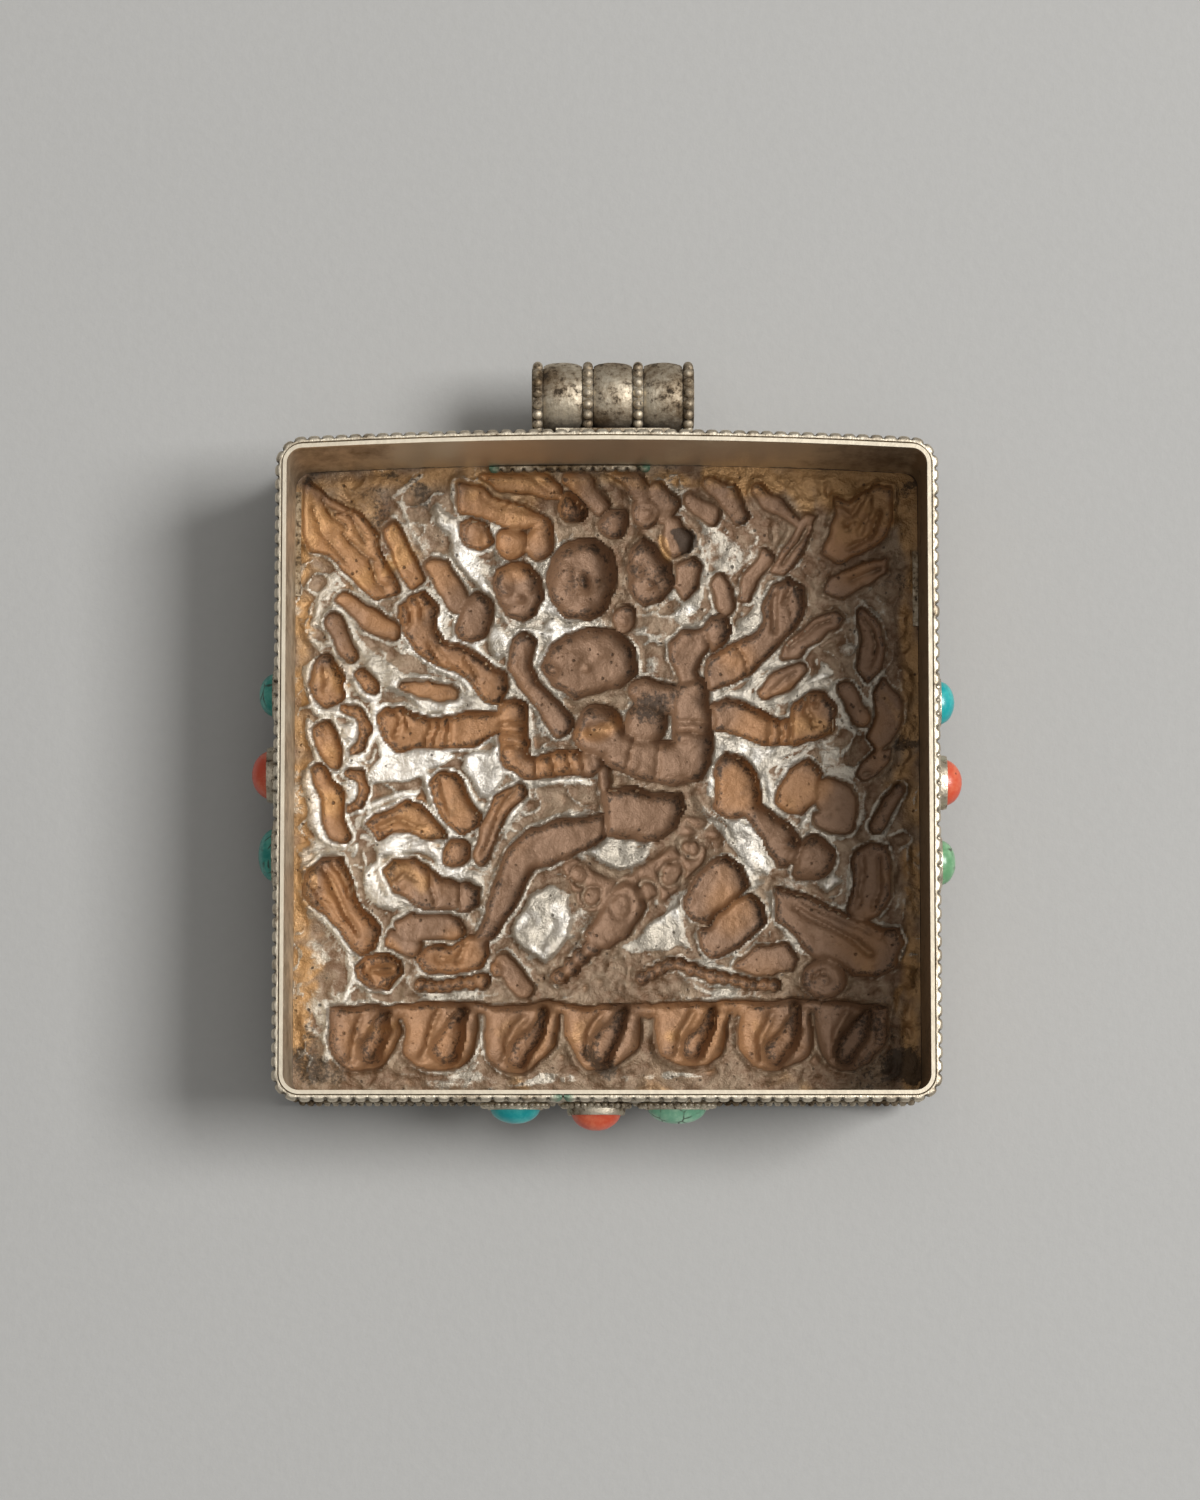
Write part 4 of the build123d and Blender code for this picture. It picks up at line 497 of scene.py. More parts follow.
# Tints of the back, each as middle, spread and strength: what is rubbed bright, gilt, warm, and darkened,
# partly by black smudges and partly as painted shade
TINTS = {
    "bright": [
        (-30, -2, 14, 1), (-36, -26, 9, 0.85), (-37, 26, 8, 0.8), (-24, 38, 6, 0.6), (-20, 4, 12, 1),
        (-31, 6, 9, 1), (-37, 10, 7, 0.9), (-36, -3, 7, 0.95), (-25, -11, 9, 1), (-35, -22, 6, 0.75),
        (-9, -19, 6, 0.62), (-38, -36, 4, 0.6), (-20, 18, 9, 0.95), (-19, 30, 6, 0.95), (-34, 22, 6, 0.75),
        (-7, 21, 6, 0.95), (-8, 29, 4, 0.6), (2, -9.6, 4, 0.6), (8, -19.5, 4.5, 0.62), (5, 17, 5, 0.5),
        (10, 24, 5, 0.6), (15, 31, 5, 0.55), (20, 23, 6, 0.55), (18, 13, 6, 0.65), (26, 13, 6, 0.6),
        (16, 4, 5, 0.7), (23, 1, 5, 0.75), (18, -7, 5, 0.8), (30, 2, 5, 0.65), (29, -12, 5, 0.65),
        (34, 10, 6, 0.5), (38, -4, 5, 0.5), (38, -20, 5, 0.4), (-6, -6, 8, 0.45), (-20, -27, 5, 0.6),
        (14, -26, 6, 0.5), (-20, -33, 8, 0.45), (6, 7, 5, 0.6), (-8, 9, 6, 0.55), (-26, 37, 4, 0.45),
        (34, 20, 5, 0.35), (-14, -2, 5, 0.85), (30, -5, 5, 0.55), (8, 38.5, 4, 0.45), (22, -19, 5, 0.4),
    ],
    "gilt": [
        (-35, 34, 4.5, 0.4), (-38.5, 36, 2.5, 0.7), (-28, 31, 2.4, 0.85), (-29.5, 34, 1.6, 0.8),
        (-32, 27.5, 3, 0.65), (-40.6, 35, 1.4, 0.9), (-40.8, 27, 1.2, 0.9), (-37.2, 13.6, 2.4, 0.95),
        (-40.9, 16, 1.2, 0.9), (-40.9, 6, 1.2, 0.85), (-37.6, 5, 2.2, 0.5), (-36.6, -2, 2.4, 0.8),
        (-40.8, -5, 1.2, 0.8), (-40.7, -17, 1.2, 0.8), (-40, -24, 2.3, 1), (-39.4, -28.4, 2.2, 0.95),
        (-39.4, -31, 1.3, 0.6), (-35.5, -14, 3, 0.3), (-26.5, -12.6, 2.6, 0.6), (-26, -5, 3.4, 0.45),
        (-21, -2, 3, 0.3), (-12, 39, 5, 0.4), (-2, 39.6, 3, 0.35), (-34, 40.6, 4, 0.5),
        (-19, 41.4, 2.6, 0.6), (17, 41.2, 3, 1), (21.5, 40.6, 3.6, 1.1), (25.5, 39.2, 3, 1),
        (30.5, 41, 4, 1), (35.5, 39.6, 4, 0.95), (33.5, 34.5, 3, 0.5), (27.6, 9.4, 2.4, 0.6),
        (24, 7, 2, 0.3), (5.6, 31, 1.2, 0.9), (38.6, 9, 1.4, 0.5), (38.8, 1.5, 2, 0.6),
        (-40.8, 31, 1.6, 0.9), (-40.8, 22, 1.6, 0.85), (-40.8, 11, 1.6, 0.9), (-40.8, 1, 1.6, 0.85),
        (-40.8, -11, 1.6, 0.9), (39.6, 33, 2.2, 0.5), (40.4, 26, 1.8, 0.5), (-12, -40.4, 2.4, 0.5),
        (6, -40.6, 2.6, 0.5), (24, -40.4, 2.4, 0.45), (-28, 40.6, 4, 0.5), (40.8, -14, 1.2, 0.85),
        (40.8, -22, 1.2, 0.8), (40.6, -30, 1.3, 0.7), (25.6, -1.4, 2, 0.35), (-1, 7, 1.6, 0.4),
        (-2, -32.6, 2, 0.5), (8.4, -32.6, 1.6, 0.6), (20, -32.6, 1.6, 0.4), (-30, -31.6, 1.8, 0.5),
        (36.6, -12, 2, 0.35), (34, -22.6, 3, 0.35), (-12, -33, 1.6, 0.35),
    ],
    "warm": [
        (-26, 4, 18, 1), (-12, 38, 9, 1), (-30, 30, 12, 0.9), (-24, -34, 12, 0.65), (-7, -34, 12, 0.6),
        (14, -34, 14, 0.55), (23, 8, 7, 0.8), (18, 0, 5, 0.8), (34, 33, 7, 0.7), (-34, -16, 7, 1),
        (-30, -24, 4, 1), (-1, 7, 3, 0.8), (-7, 2.6, 5, 0.8), (16, -15, 6, 0.6), (26, -1, 5, 0.7),
        (36, 6, 4, 0.5), (-14, 31, 5, 0.8), (-20, -25, 7, 0.7), (19, 17, 5, 0.6), (33, -21, 6, 0.5),
    ],
    # Darkening spots; those along the right edge and in the two top corners, and the one at 5.4, 8.8 in a
    # hollow of the middle figure, are painted shade.
    "soot_and_shade": [
        (-35, 33, 4.5, 0.42), (-12, 26, 2, 0.3), (5.6, 27.6, 3, 0.6), (-2.6, 26.6, 4, 0.55),
        (-39.6, -37, 5, 0.75), (-35, -38.6, 4, 0.6), (-34.6, -33.4, 2.4, 0.6), (-0.4, -36, 2.4, 0.8),
        (39, -37, 4, 1), (36, -31, 4, 0.65), (41, 20, 2.2, 0.7), (41.2, 5, 1.8, 0.8), (41.2, -4, 1.8, 0.8),
        (37.6, 27, 3, 0.6), (-25.4, 38, 3, 0.75), (-32, 37.8, 3.4, 0.6), (-36, 41, 3, 0.4),
        (41.4, 41, 2.4, 0.9), (-41.4, 41, 2, 0.8), (8, 41.8, 6, 0.5), (34, -37.4, 5, 0.6),
        (24, -38.8, 5, 0.3), (-22, -39.4, 6, 0.35), (-9, 1, 3, 0.35), (28, -28.4, 5, 0.55),
        (0, -28.4, 9, 0.4), (-36.6, -26, 2.6, 0.4), (36, -4, 4, 0.35), (31, -16, 3, 0.4), (-9.6, 8, 2, 0.6),
        (5.4, 8.8, 4, 0.8), (24, 40, 3, 0.35), (9, 12, 4, 0.6), (30, 27, 4, 0.4), (26, 33, 4, 0.3),
        (9.7, 32.6, 1.9, 1.5),
    ],
}


def tone(red, green, blue):
    """A screen colour, as on a colour card, made linear for a shader."""
    shares = np.array([red, green, blue]) / 255
    linear = np.where(shares <= 0.04045, shares / 12.92, ((shares + 0.055) / 1.055) ** 2.4)
    return [float(share) for share in linear]


def length_property(name, description, millimetres):
    """A size that a user may change, given here in millimetres."""
    return FloatProperty(name=name, description=description, default=millimetres * MM, unit="LENGTH",
                         precision=5)


def colour_property(name, description, colour):
    """A colour that a user may change."""
    return FloatVectorProperty(name=name, description=description, default=colour, subtype="COLOR", size=3,
                               min=0.0, max=1.0)


class AmuletBoxSizes(PropertyGroup):
    """Sizes of the pieces that are modelled here."""

    corner: length_property("Corner", "Radius of the case's corners", 2.6)
    sheet: length_property("Sheet", "Thickness of the relief sheet", 0.45)
    cells: IntProperty(name="Cells", description="Cells along a side of the relief sheet", default=276)
    rim_wire: length_property("Rim wire", "Width of the beaded rim wire", 1.0)
    rim_tall: length_property("Rim height", "Height of the beaded rim wire", 1.3)
    rim_pitch: length_property("Rim pitch", "From one bead of the rim wire to the next", 1.78)
    rim_gap: length_property("Rim joint", "Gap where the ends of the rim wire meet", 0.25)
    twist_wire: length_property("Twisted wire", "Width of the twisted wire", 0.7)
    twist_pitch: length_property("Twist", "Length of half a turn of the twisted wire", 1.25)
    front_wire: length_property("Front wire", "Width of the milled front wire", 0.9)
    front_tall: length_property("Front wire height", "Height of the milled front wire", 1.1)
    front_pitch: length_property("Front wire pitch", "From one mill mark to the next", 1.1)


class AmuletBoxColours(PropertyGroup):
    """Colours of the metals and stones."""

    silver: colour_property("Silver", "Worn silver", tone(222, 210, 188))
    tarnish: colour_property("Tarnish", "Silver gone brown", tone(128, 106, 78))
    grime: colour_property("Grime", "Dirt in corners and grooves", tone(46, 36, 26))
    copper: colour_property("Copper", "Tan skin of the hollows", tone(166, 122, 82))
    # Grime also serves as painted shade: low on the band by the sheet, over the band's right side, and at the
    # edges and creases of the hollows on the back.
    deep_copper: colour_property("Deep copper", "Darker brown in the hollows", tone(114, 84, 58))
    violet: colour_property("Violet", "Cool brown in the hollows", tone(141, 109, 83))
    verdigris: colour_property("Verdigris", "Green where solder joints have sweated", tone(78, 128, 104))
    ground: colour_property("Ground", "Grey brown skin between the hollows", tone(156, 133, 108))
    rubbed: colour_property("Rubbed", "Bright metal on the raised lines", tone(190, 180, 164))
    polished: colour_property("Polished", "Lines rubbed brightest", tone(240, 233, 222))
    gilt: colour_property("Gilt", "Golden stains", tone(190, 146, 94))
    coral: colour_property("Coral", "Coral stones", tone(212, 82, 52))
    floor: colour_property("Floor", "Paper under the box", tone(187, 186, 183))


class Shade:
    """A socket of a finish, so that sums in a shader read as sums."""

    def __init__(self, finish, socket):
        self.finish = finish
        self.socket = socket

    def sum(self, operation, first, second):
        return self.finish.node("ShaderNodeMath", {"operation": operation}, {0: first, 1: second})

    def __add__(self, other):
        return self.sum("ADD", self, other)

    def __radd__(self, other):
        return self.sum("ADD", other, self)

    def __sub__(self, other):
        return self.sum("SUBTRACT", self, other)

    def __rsub__(self, other):
        return self.sum("SUBTRACT", other, self)

    def __mul__(self, other):
        return self.sum("MULTIPLY", self, other)

    def greater(self, other):
        """The greater of two shades."""
        return self.sum("MAXIMUM", self, other)


class Finish:
    """A material put together from nodes."""

    def __init__(self, name):
        self.material = bpy.data.materials.new(name)
        self.material.use_nodes = True
        self.tree = self.material.node_tree
        self.shader = self.tree.nodes["Principled BSDF"]
        self.place = self.node("ShaderNodeTexCoord", {}, {}, "Object")

    def node(self, kind, settings, sockets, output=0):
        """Adds a node: its settings first, then the values or links of its sockets."""
        node = self.tree.nodes.new(kind)
        for name, value in settings.items():
            setattr(node, name, value)
        for name, value in sockets.items():
            self.give(node.inputs[name], value)
        return Shade(self, node.outputs[output])

    def give(self, socket, value):
        """Links a socket to a shade, or sets its value."""
        if isinstance(value, Shade):
            self.tree.links.new(value.socket, socket)
        elif socket.type == "RGBA":
            socket.default_value = (*value, 1.0)
        else:
            socket.default_value = value

    def set(self, **sockets):
        """Gives the shader's own sockets, named with underscores."""
        for name, value in sockets.items():
            self.give(self.shader.inputs[name.replace("_", " ")], value)
        return self.material

    def noise(self, scale, detail=3.0, roughness=0.55, stretch=None):
        place = self.place
        if stretch:
            place = self.node("ShaderNodeMapping", {}, {"Vector": place, "Scale": stretch})
        return self.node("ShaderNodeTexNoise", {}, {"Vector": place, "Scale": scale, "Detail": detail,
                                                    "Roughness": roughness})

    def ridges(self, scale):
        """Sharp wandering ridges."""
        return self.node("ShaderNodeTexNoise", {"noise_type": "RIDGED_MULTIFRACTAL"},
                         {"Vector": self.place, "Scale": scale, "Detail": 4.0})

    def cells(self, scale, feature="F1"):
        return self.node("ShaderNodeTexVoronoi", {"feature": feature}, {"Vector": self.place, "Scale": scale},
                         "Distance")

    def attribute(self, name):
        return self.node("ShaderNodeAttribute", {"attribute_name": name}, {}, "Fac")

    def step(self, value, low, high):
        """Rises from 0 to 1 as the value goes from low to high."""
        return self.node("ShaderNodeMapRange", {"interpolation_type": "SMOOTHSTEP"},
                         {"Value": value, "From Min": low, "From Max": high})

    def mix(self, share, first, second):
        return self.node("ShaderNodeMix", {"data_type": "RGBA"}, {0: share, 6: first, 7: second}, 2)

    def axis(self, name):
        """Where a place of the piece lies along one axis, in metres."""
        return self.node("ShaderNodeSeparateXYZ", {}, {0: self.place}, name)

    def bump(self, height, strength, distance):
        return self.node("ShaderNodeBump", {}, {"Height": height, "Strength": strength, "Distance": distance},
                         "Normal")


def silver_finish(name, colours, tarnish, grime, scale=1.0, rough=0.36):
    """Old silver: brown tarnish in clouds, dirt in specks, fine scratches and small dents."""
    finish = Finish(name)
    clouds = finish.noise(130 * scale, 4.0)
    specks = finish.noise(900 * scale, 4.0, 0.7)
    grain = finish.noise(3200, 3.0, 0.6, (1.0, 0.25, 1.0))
    brown = finish.step(clouds * 0.6 + specks * 0.4, 0.62 - 0.4 * tarnish, 0.86 - 0.3 * tarnish)
    dirt = finish.step(specks * 0.75 + clouds * 0.25, 0.72 - 0.35 * grime, 0.8 - 0.25 * grime)
    groove = finish.step(finish.attribute("groove") + specks * 0.4 - 0.2, 0.25, 0.75)
    dirt = dirt.greater(groove)
    colour = finish.mix(brown, colours.silver, colours.tarnish)
    colour = finish.mix(dirt * 0.85, colour, colours.grime)
    green = finish.step(finish.attribute("green") + specks * 0.6 - 0.3, 0.2, 0.8)
    colour = finish.mix(green * 0.8, colour, colours.verdigris)
    dents = specks * 0.5 + grain * 0.25 + clouds
    return finish.set(
        Base_Color=colour,
        Metallic=0.9 - dirt * 0.5 - green * 0.3,
        Roughness=rough + brown * 0.14 + dirt * 0.25 + grain * 0.08,
        Normal=finish.bump(dents, 0.45, 0.4 * MM),
    )


def band_finish(colours):
    """The case's band: bright along the rim, satin brown below, streaked with dirt, with painted shade where
    it meets the sheet and over its right side.
    """
    finish = Finish("case_silver")
    clouds = finish.noise(90, 4.0)
    streaks = finish.noise(520, 4.0, 0.65, (1.0, 1.0, 0.35))
    grain = finish.noise(2600, 3.0, 0.6, (0.35, 0.35, 1.0))
    across, up, height = (finish.axis(name) for name in "XYZ")
    rim = finish.step(height, RIM - 1.6 * MM, RIM - 0.2 * MM)
    scuffed = finish.step(up, CENTRE_Y + HALF - 2 * MM, CENTRE_Y + HALF)
    scuffed = scuffed * (1.0 - finish.step(across * across, (12 * MM) ** 2, (36 * MM) ** 2))
    # Painted shade: the band's right side, below the rim, is made browner and darker.
    right_wall_shade = finish.step(across, HALF - 2 * MM, HALF - 0.6 * MM) * (1.0 - rim)
    brown = finish.step(clouds * 0.5 + streaks * 0.5 - scuffed * 0.25 + right_wall_shade * 0.3, 0.34, 0.7)
    brown = brown * (0.9 - rim * 0.75)
    # Painted shade: darker low down, where the band meets the sheet.
    low = 1.0 - finish.step(height + clouds * (3 * MM), BACK + 0.8 * MM, BACK + 4.2 * MM)
    # The grime colour here is streaky dirt together with these two painted shades.
    dirt = finish.step(streaks * 0.7 + low * 0.55 + right_wall_shade * 0.25, 0.58, 0.86)
    colour = finish.mix(brown, colours.silver, colours.tarnish)
    colour = finish.mix(dirt * 0.8, colour, colours.grime)
    return finish.set(
        Base_Color=colour,
        Metallic=0.8 - dirt * 0.3,
        Roughness=0.38 + brown * 0.14 + dirt * 0.2 + grain * 0.06,
        Normal=finish.bump(clouds * 1.6 + streaks * 0.4 + grain * 0.15, 0.22, 0.6 * MM),
    )


def back_finish(colours):
    """The sheet seen from the back: brown hollows, rubbed raised lines, gilt stains, blackened spots, and
    painted shade at the hollows' edges and creases and in the corners by the band.
    """
    finish = Finish("relief_sheet")
    broad = finish.noise(70, 3.0)
    clouds = finish.noise(220, 4.0)
    mottle = finish.noise(750, 5.0, 0.65)
    specks = finish.noise(2100, 4.0, 0.7)
    pits = finish.cells(800)
    ridges = finish.ridges(260)
    hollow, bright, gilt, warm, soot_and_shade = (finish.attribute(name) for name in ("hollow", *TINTS))
    warmth = finish.step(warm + broad * 0.6 + clouds * 0.4 - 0.5, 0.2, 0.8)
    copper = finish.mix(warmth, colours.violet, colours.copper)
    shade = finish.step(clouds * 0.5 + mottle * 0.4 + ridges * 0.1, 0.46, 0.66)
    copper = finish.mix(shade * 0.9, copper, colours.deep_copper)
    pale = finish.step(clouds * 0.5 + mottle * 0.4 + specks * 0.1, 0.38, 0.6)
    ground = finish.mix(pale, colours.deep_copper, colours.ground)
    deep = finish.step(hollow, 0.04, 0.22)
    colour = finish.mix(deep, ground, copper)
    rubbed = finish.step(bright + mottle * 0.7 + specks * 0.35 + ridges * 0.1 - 0.62, 0.26, 0.5)
    polish = finish.mix(finish.step(bright + mottle * 0.3 - 0.15, 0.7, 1.0), colours.rubbed, colours.polished)
    colour = finish.mix(rubbed, colour, polish)
    golden = finish.step(gilt + mottle * 0.7 - 0.35, 0.12, 0.75) * (1.0 - rubbed * 0.7)
    colour = finish.mix(golden * (0.75 - deep * 0.25), colour, colours.gilt)
    # Black smudges and the painted shade carried with them, together with the pits, go to the grime colour.
    blackened_and_shaded = finish.step(soot_and_shade * 0.7 + specks * 0.9 + mottle * 0.4 - 0.72, 0.25, 0.5)
    spots = (1.0 - finish.step(pits, 0.08, 0.24)) * finish.step(mottle, 0.5, 0.6)
    dirt = (blackened_and_shaded * 0.8).greater(spots * 0.7)
    colour = finish.mix(dirt, colour, colours.grime)
    dents = (clouds * 0.8 + mottle * 0.8 + ridges * 0.35) * (1.0 - deep * 0.65) + specks * 0.3 - spots * 0.4
    return finish.set(
        Base_Color=colour,
        Metallic=0.3 + rubbed * 0.4 + golden * 0.25 - dirt * 0.2,
        Roughness=0.46 - rubbed * 0.08 + dirt * 0.25 - golden * 0.06,
        Normal=finish.bump(dents, 0.7, 0.6 * MM),
    )


def front_finish(colours):
    """The sheet's own front: silver with dark ground between the raised forms."""
    finish = Finish("relief_front")
    mottle = finish.noise(500, 5.0, 0.65)
    specks = finish.noise(2200, 3.0, 0.6)
    low = 1.0 - finish.step(finish.attribute("hollow") + mottle * 0.2, 0.12, 0.5)
    colour = finish.mix(low * 0.8, colours.silver, colours.tarnish)
    colour = finish.mix(finish.step(low * 0.5 + mottle * 0.6, 0.62, 0.9), colour, colours.grime)
    return finish.set(
        Base_Color=colour,
        Metallic=1.0 - low * 0.3,
        Roughness=0.3 + low * 0.2 + specks * 0.08,
        Normal=finish.bump(mottle + specks * 0.3, 0.2, 0.4 * MM),
    )


def turquoise_finish(name, colours, colour, pale, veins):
    """Polished turquoise: clouded colour, dark veins where they run, a waxy gloss."""
    finish = Finish(name)
    clouds = finish.noise(420, 5.0, 0.6)
    mottle = finish.noise(1500, 4.0, 0.6)
    body = finish.mix(finish.step(clouds * 0.7 + mottle * 0.3, 0.4, 0.66), colour, pale)
    crack = finish.cells(420, "DISTANCE_TO_EDGE")
    vein = 1.0 - finish.step(crack + mottle * 0.06, 0.03, 0.1)
    vein = vein * finish.step(clouds, 0.62 - veins * 0.3, 0.74 - veins * 0.24)
    body = finish.mix(vein * 0.85, body, colours.grime)
    return finish.set(
        Base_Color=body,
        Roughness=0.26 + vein * 0.3 + mottle * 0.08,
        Coat_Weight=0.25,
        Normal=finish.bump(mottle - vein, 0.12, 0.2 * MM),
    )


def coral_finish(colours):
    """Polished coral: orange red, paler in clouds, with a few pinholes."""
    finish = Finish("coral")
    clouds = finish.noise(360, 4.0, 0.6)
    grain = finish.noise(1800, 3.0, 0.6, (1.0, 1.0, 0.3))
    holes = (1.0 - finish.step(finish.cells(700), 0.06, 0.14)) * finish.step(clouds, 0.52, 0.58)
    pale = finish.step(clouds * 0.7 + grain * 0.3, 0.42, 0.66)
    body = finish.mix(pale, colours.coral, tone(226, 116, 82))
    body = finish.mix(holes * 0.75, body, tone(92, 30, 20))
    return finish.set(
        Base_Color=body,
        Roughness=0.3 + grain * 0.12 + holes * 0.3,
        Coat_Weight=0.2,
        Normal=finish.bump(grain - holes * 2.0, 0.12, 0.2 * MM),
    )


def choose(*pieces):
    """Selects these pieces alone, the first of them active."""
    bpy.ops.object.select_all(action="DESELECT")
    for piece in pieces:
        piece.select_set(True)
    bpy.context.view_layer.objects.active = pieces[0] if pieces else None


def started(name):
    """Names the piece that a primitive has just begun, with its place put into its mesh."""
    piece = bpy.context.object
    piece.name = name
    bpy.ops.object.transform_apply(location=True, rotation=True, scale=True)
    return piece


def pick(piece, test):
    """Selects, in edit mode, the points whose place passes the test."""
    mesh = bmesh.from_edit_mesh(piece.data)
    for face in mesh.faces:
        face.select = False
    for edge in mesh.edges:
        edge.select = False
    for point in mesh.verts:
        point.select = bool(test(point.co))
    mesh.select_flush(True)
    bmesh.update_edit_mesh(piece.data)


def shape(piece):
    """Goes into edit mode on one piece, with points selected."""
    choose(piece)
    bpy.ops.object.mode_set(mode="EDIT")
    bpy.ops.mesh.select_mode(type="VERT")
    every_point()


def done():
    """Leaves edit mode."""
    bpy.ops.object.mode_set(mode="OBJECT")


def every_point():
    """Selects all points, in edit mode."""
    bpy.ops.mesh.select_all(action="SELECT")


def resize(sizes, about=(0, 0, 0)):
    """Resizes what is selected about a place."""
    bpy.ops.transform.resize(value=sizes, center_override=about)


def shift(way):
    """Moves what is selected."""
    bpy.ops.transform.translate(value=way)


def roughen(offset, seed):
    """Moves each selected point a little in or out, by chance."""
    bpy.ops.transform.vertex_random(offset=offset, uniform=0.0, normal=1.0, seed=seed)


def tube(name, sides, radius, middle, long):
    """Begins a piece as an open tube along X."""
    choose()
    bpy.ops.mesh.primitive_cylinder_add(vertices=sides, radius=radius, depth=long, end_fill_type="NOTHING",
                                        location=middle, rotation=(0, pi / 2, 0))
    return started(name)


def ball(name, segments, rings, radius):
    """Begins a piece as a ball."""
    choose()
    bpy.ops.mesh.primitive_uv_sphere_add(segments=segments, ring_count=rings, radius=radius)
    return started(name)


def cut_rings(places):
    """Cuts a tube along X into rings at these places, in edit mode."""
    for place in places:
        every_point()
        bpy.ops.mesh.bisect(plane_co=(place, 0, 0), plane_no=(1, 0, 0))


def use(piece, kind, **settings):
    """Adds a modifier and applies it."""
    choose(piece)
    modifier = piece.modifiers.new(kind.title(), kind)
    for name, value in settings.items():
        setattr(modifier, name, value)
    bpy.ops.object.modifier_apply(modifier=modifier.name)


def places_of(piece):
    """The points of a piece as rows of x, y, z."""
    flat = np.empty(3 * len(piece.data.vertices))
    piece.data.vertices.foreach_get("co", flat)
    return flat.reshape(-1, 3)


def move_to(piece, rows):
    """Puts the points of a piece at these rows of x, y, z."""
    piece.data.vertices.foreach_set("co", rows.ravel())
    piece.data.update()


def copies(piece, places):
    """Copies a modelled piece to each place, every copy with its own mesh, and joins them."""
    made = []
    for place in places:
        copy = piece.copy()
        copy.data = piece.data.copy()
        copy.data.transform(place)
        bpy.context.collection.objects.link(copy)
        made.append(copy)
    bpy.data.objects.remove(piece)
    choose(*made)
    bpy.ops.object.join()
    return bpy.context.object


def finish_piece(piece, name, material, nodes, angle=40):
    """Names a piece, smooths it, gives it its finish and lets it stand for its solids."""
    piece.name = name
    piece.data.name = name
    choose(piece)
    bpy.ops.object.shade_smooth_by_angle(angle=radians(angle))
    if material:
        piece.data.materials.clear()
        piece.data.materials.append(material)
    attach(piece, "root")
    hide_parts(*nodes)


def dress(node, material):
    """Gives a solid that stays its finish."""
    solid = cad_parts[node]
    solid.data.materials.clear()
    solid.data.materials.append(material)


# Points of the band's plan in each corner and along each side
CORNER_POINTS = 15
SIDE_POINTS = 60


def band_line(grow, start):
    """The band's plan, grown by this much, from a start on the foot: points, outward ways, length run."""
    corner = bpy.context.scene.amulet_sizes.corner
    half = HALF + grow
    turn = corner + grow
    flat = half - turn
    points = [np.array([[start, -half]])]
    ways = [np.array([[0.0, -1.0]])]
    for quarter in range(4):
        middle = np.array([flat * (1, 1, -1, -1)[quarter], flat * (-1, 1, 1, -1)[quarter]])
        angles = np.linspace(0, pi / 2, CORNER_POINTS) + (quarter - 1) * pi / 2
        spokes = np.stack([np.cos(angles), np.sin(angles)], 1)
        ahead = middle + turn * spokes
        run = np.linspace(0, 1, SIDE_POINTS)[1:-1, None]
        points.append(points[-1][-1] * (1 - run) + ahead[0] * run)
        ways.append(np.repeat(spokes[:1], len(run), 0))
        points.append(ahead)
        ways.append(spokes)
    run = np.linspace(0, 1, SIDE_POINTS)[1:, None]
    points.append(points[-1][-1] * (1 - run) + points[0][0] * run)
    ways.append(np.repeat(ways[0], len(run), 0))
    line = np.concatenate(points)
    outward = np.concatenate(ways)
    top = line[:, 1] > 0.9 * flat
    line[top, 1] += BOW * np.clip(1 - (line[top, 0] / half) ** 2, 0, 1)
    steps = np.hypot(*np.diff(line, axis=0).T)
    return line, outward, np.concatenate([[0], np.cumsum(steps)])


def lay_round(piece, grow, height, start):
    """Bends a straight piece, modelled along X with Y away from the band, round the band at this height."""
    line, outward, run = band_line(grow, start)
    rows = places_of(piece)
    along = np.clip(rows[:, 0], 0, run[-1])
    middle = np.stack([np.interp(along, run, line[:, axis]) for axis in (0, 1)], 1)
    away = np.stack([np.interp(along, run, outward[:, axis]) for axis in (0, 1)], 1)
    away /= np.hypot(*away.T)[:, None]
    plan = middle + away * (rows[:, 1:2] - grow)
    move_to(piece, np.column_stack([plan[:, 0], plan[:, 1] + CENTRE_Y, rows[:, 2] + height]))


def wire_length(name, sides, rings, pitch, wide, tall):
    """One pitch of wire: a tube along X that lies against the band, cut into rings, left in edit mode."""
    piece = tube(name, sides, 0.5, (pitch / 2, 0, 0), pitch)
    shape(piece)
    cut_rings([pitch * i / rings for i in range(1, rings)])
    every_point()
    resize((1, wide, tall))
    shift((0, wide / 2, 0))
    return piece


def squeeze(piece, at, pitch, test, sizes, middle):
    """Resizes the points of one ring of a wire that pass the test, about this middle."""
    pick(piece, lambda place: abs(place.x - at) < 0.01 * pitch and test(place))
    resize((1, *sizes), (at, *middle))


# Sides of the wires, and rings of one bead, twist and mill mark as shares of the full width and height
BEAD_SIDES = 14
TWIST_SIDES = 12
MILL_SIDES = 8
BEAD_SWELL = [(0.4, 0.6), (0.86, 0.92), (1.0, 1.0), (1.0, 1.0), (1.0, 1.0), (0.86, 0.92), (0.4, 0.6)]
TWIST_FLAT = (1.0, 0.6)
TWIST_RINGS = 6
MILL_SWELL = [(0.6, 0.8), (0.95, 0.97), (1.0, 1.0), (0.95, 0.97), (0.6, 0.8)]


def beaded_length(name, pitch, wide, tall):
    """One bead of wire: flat on top and against the band, parted from the next by a notch on the outside."""
    rings = len(BEAD_SWELL) - 1
    piece = wire_length(name, BEAD_SIDES, rings, pitch, wide, tall)
    for side in (1, -1):
        pick(piece, lambda place: place.y < 0.5 * wide and side * place.z > 0.3 * tall)
        resize((1, 1, 0), (0, 0, side * tall / 2))
    pick(piece, lambda place: place.y < 0.16 * wide)
    resize((1, 0, 1))
    for i, swell in enumerate(BEAD_SWELL):
        at = pitch * i / rings
        squeeze(piece, at, pitch, lambda place: place.y > 0.52 * wide, swell, (0.25 * wide, 0))
    done()
    return piece


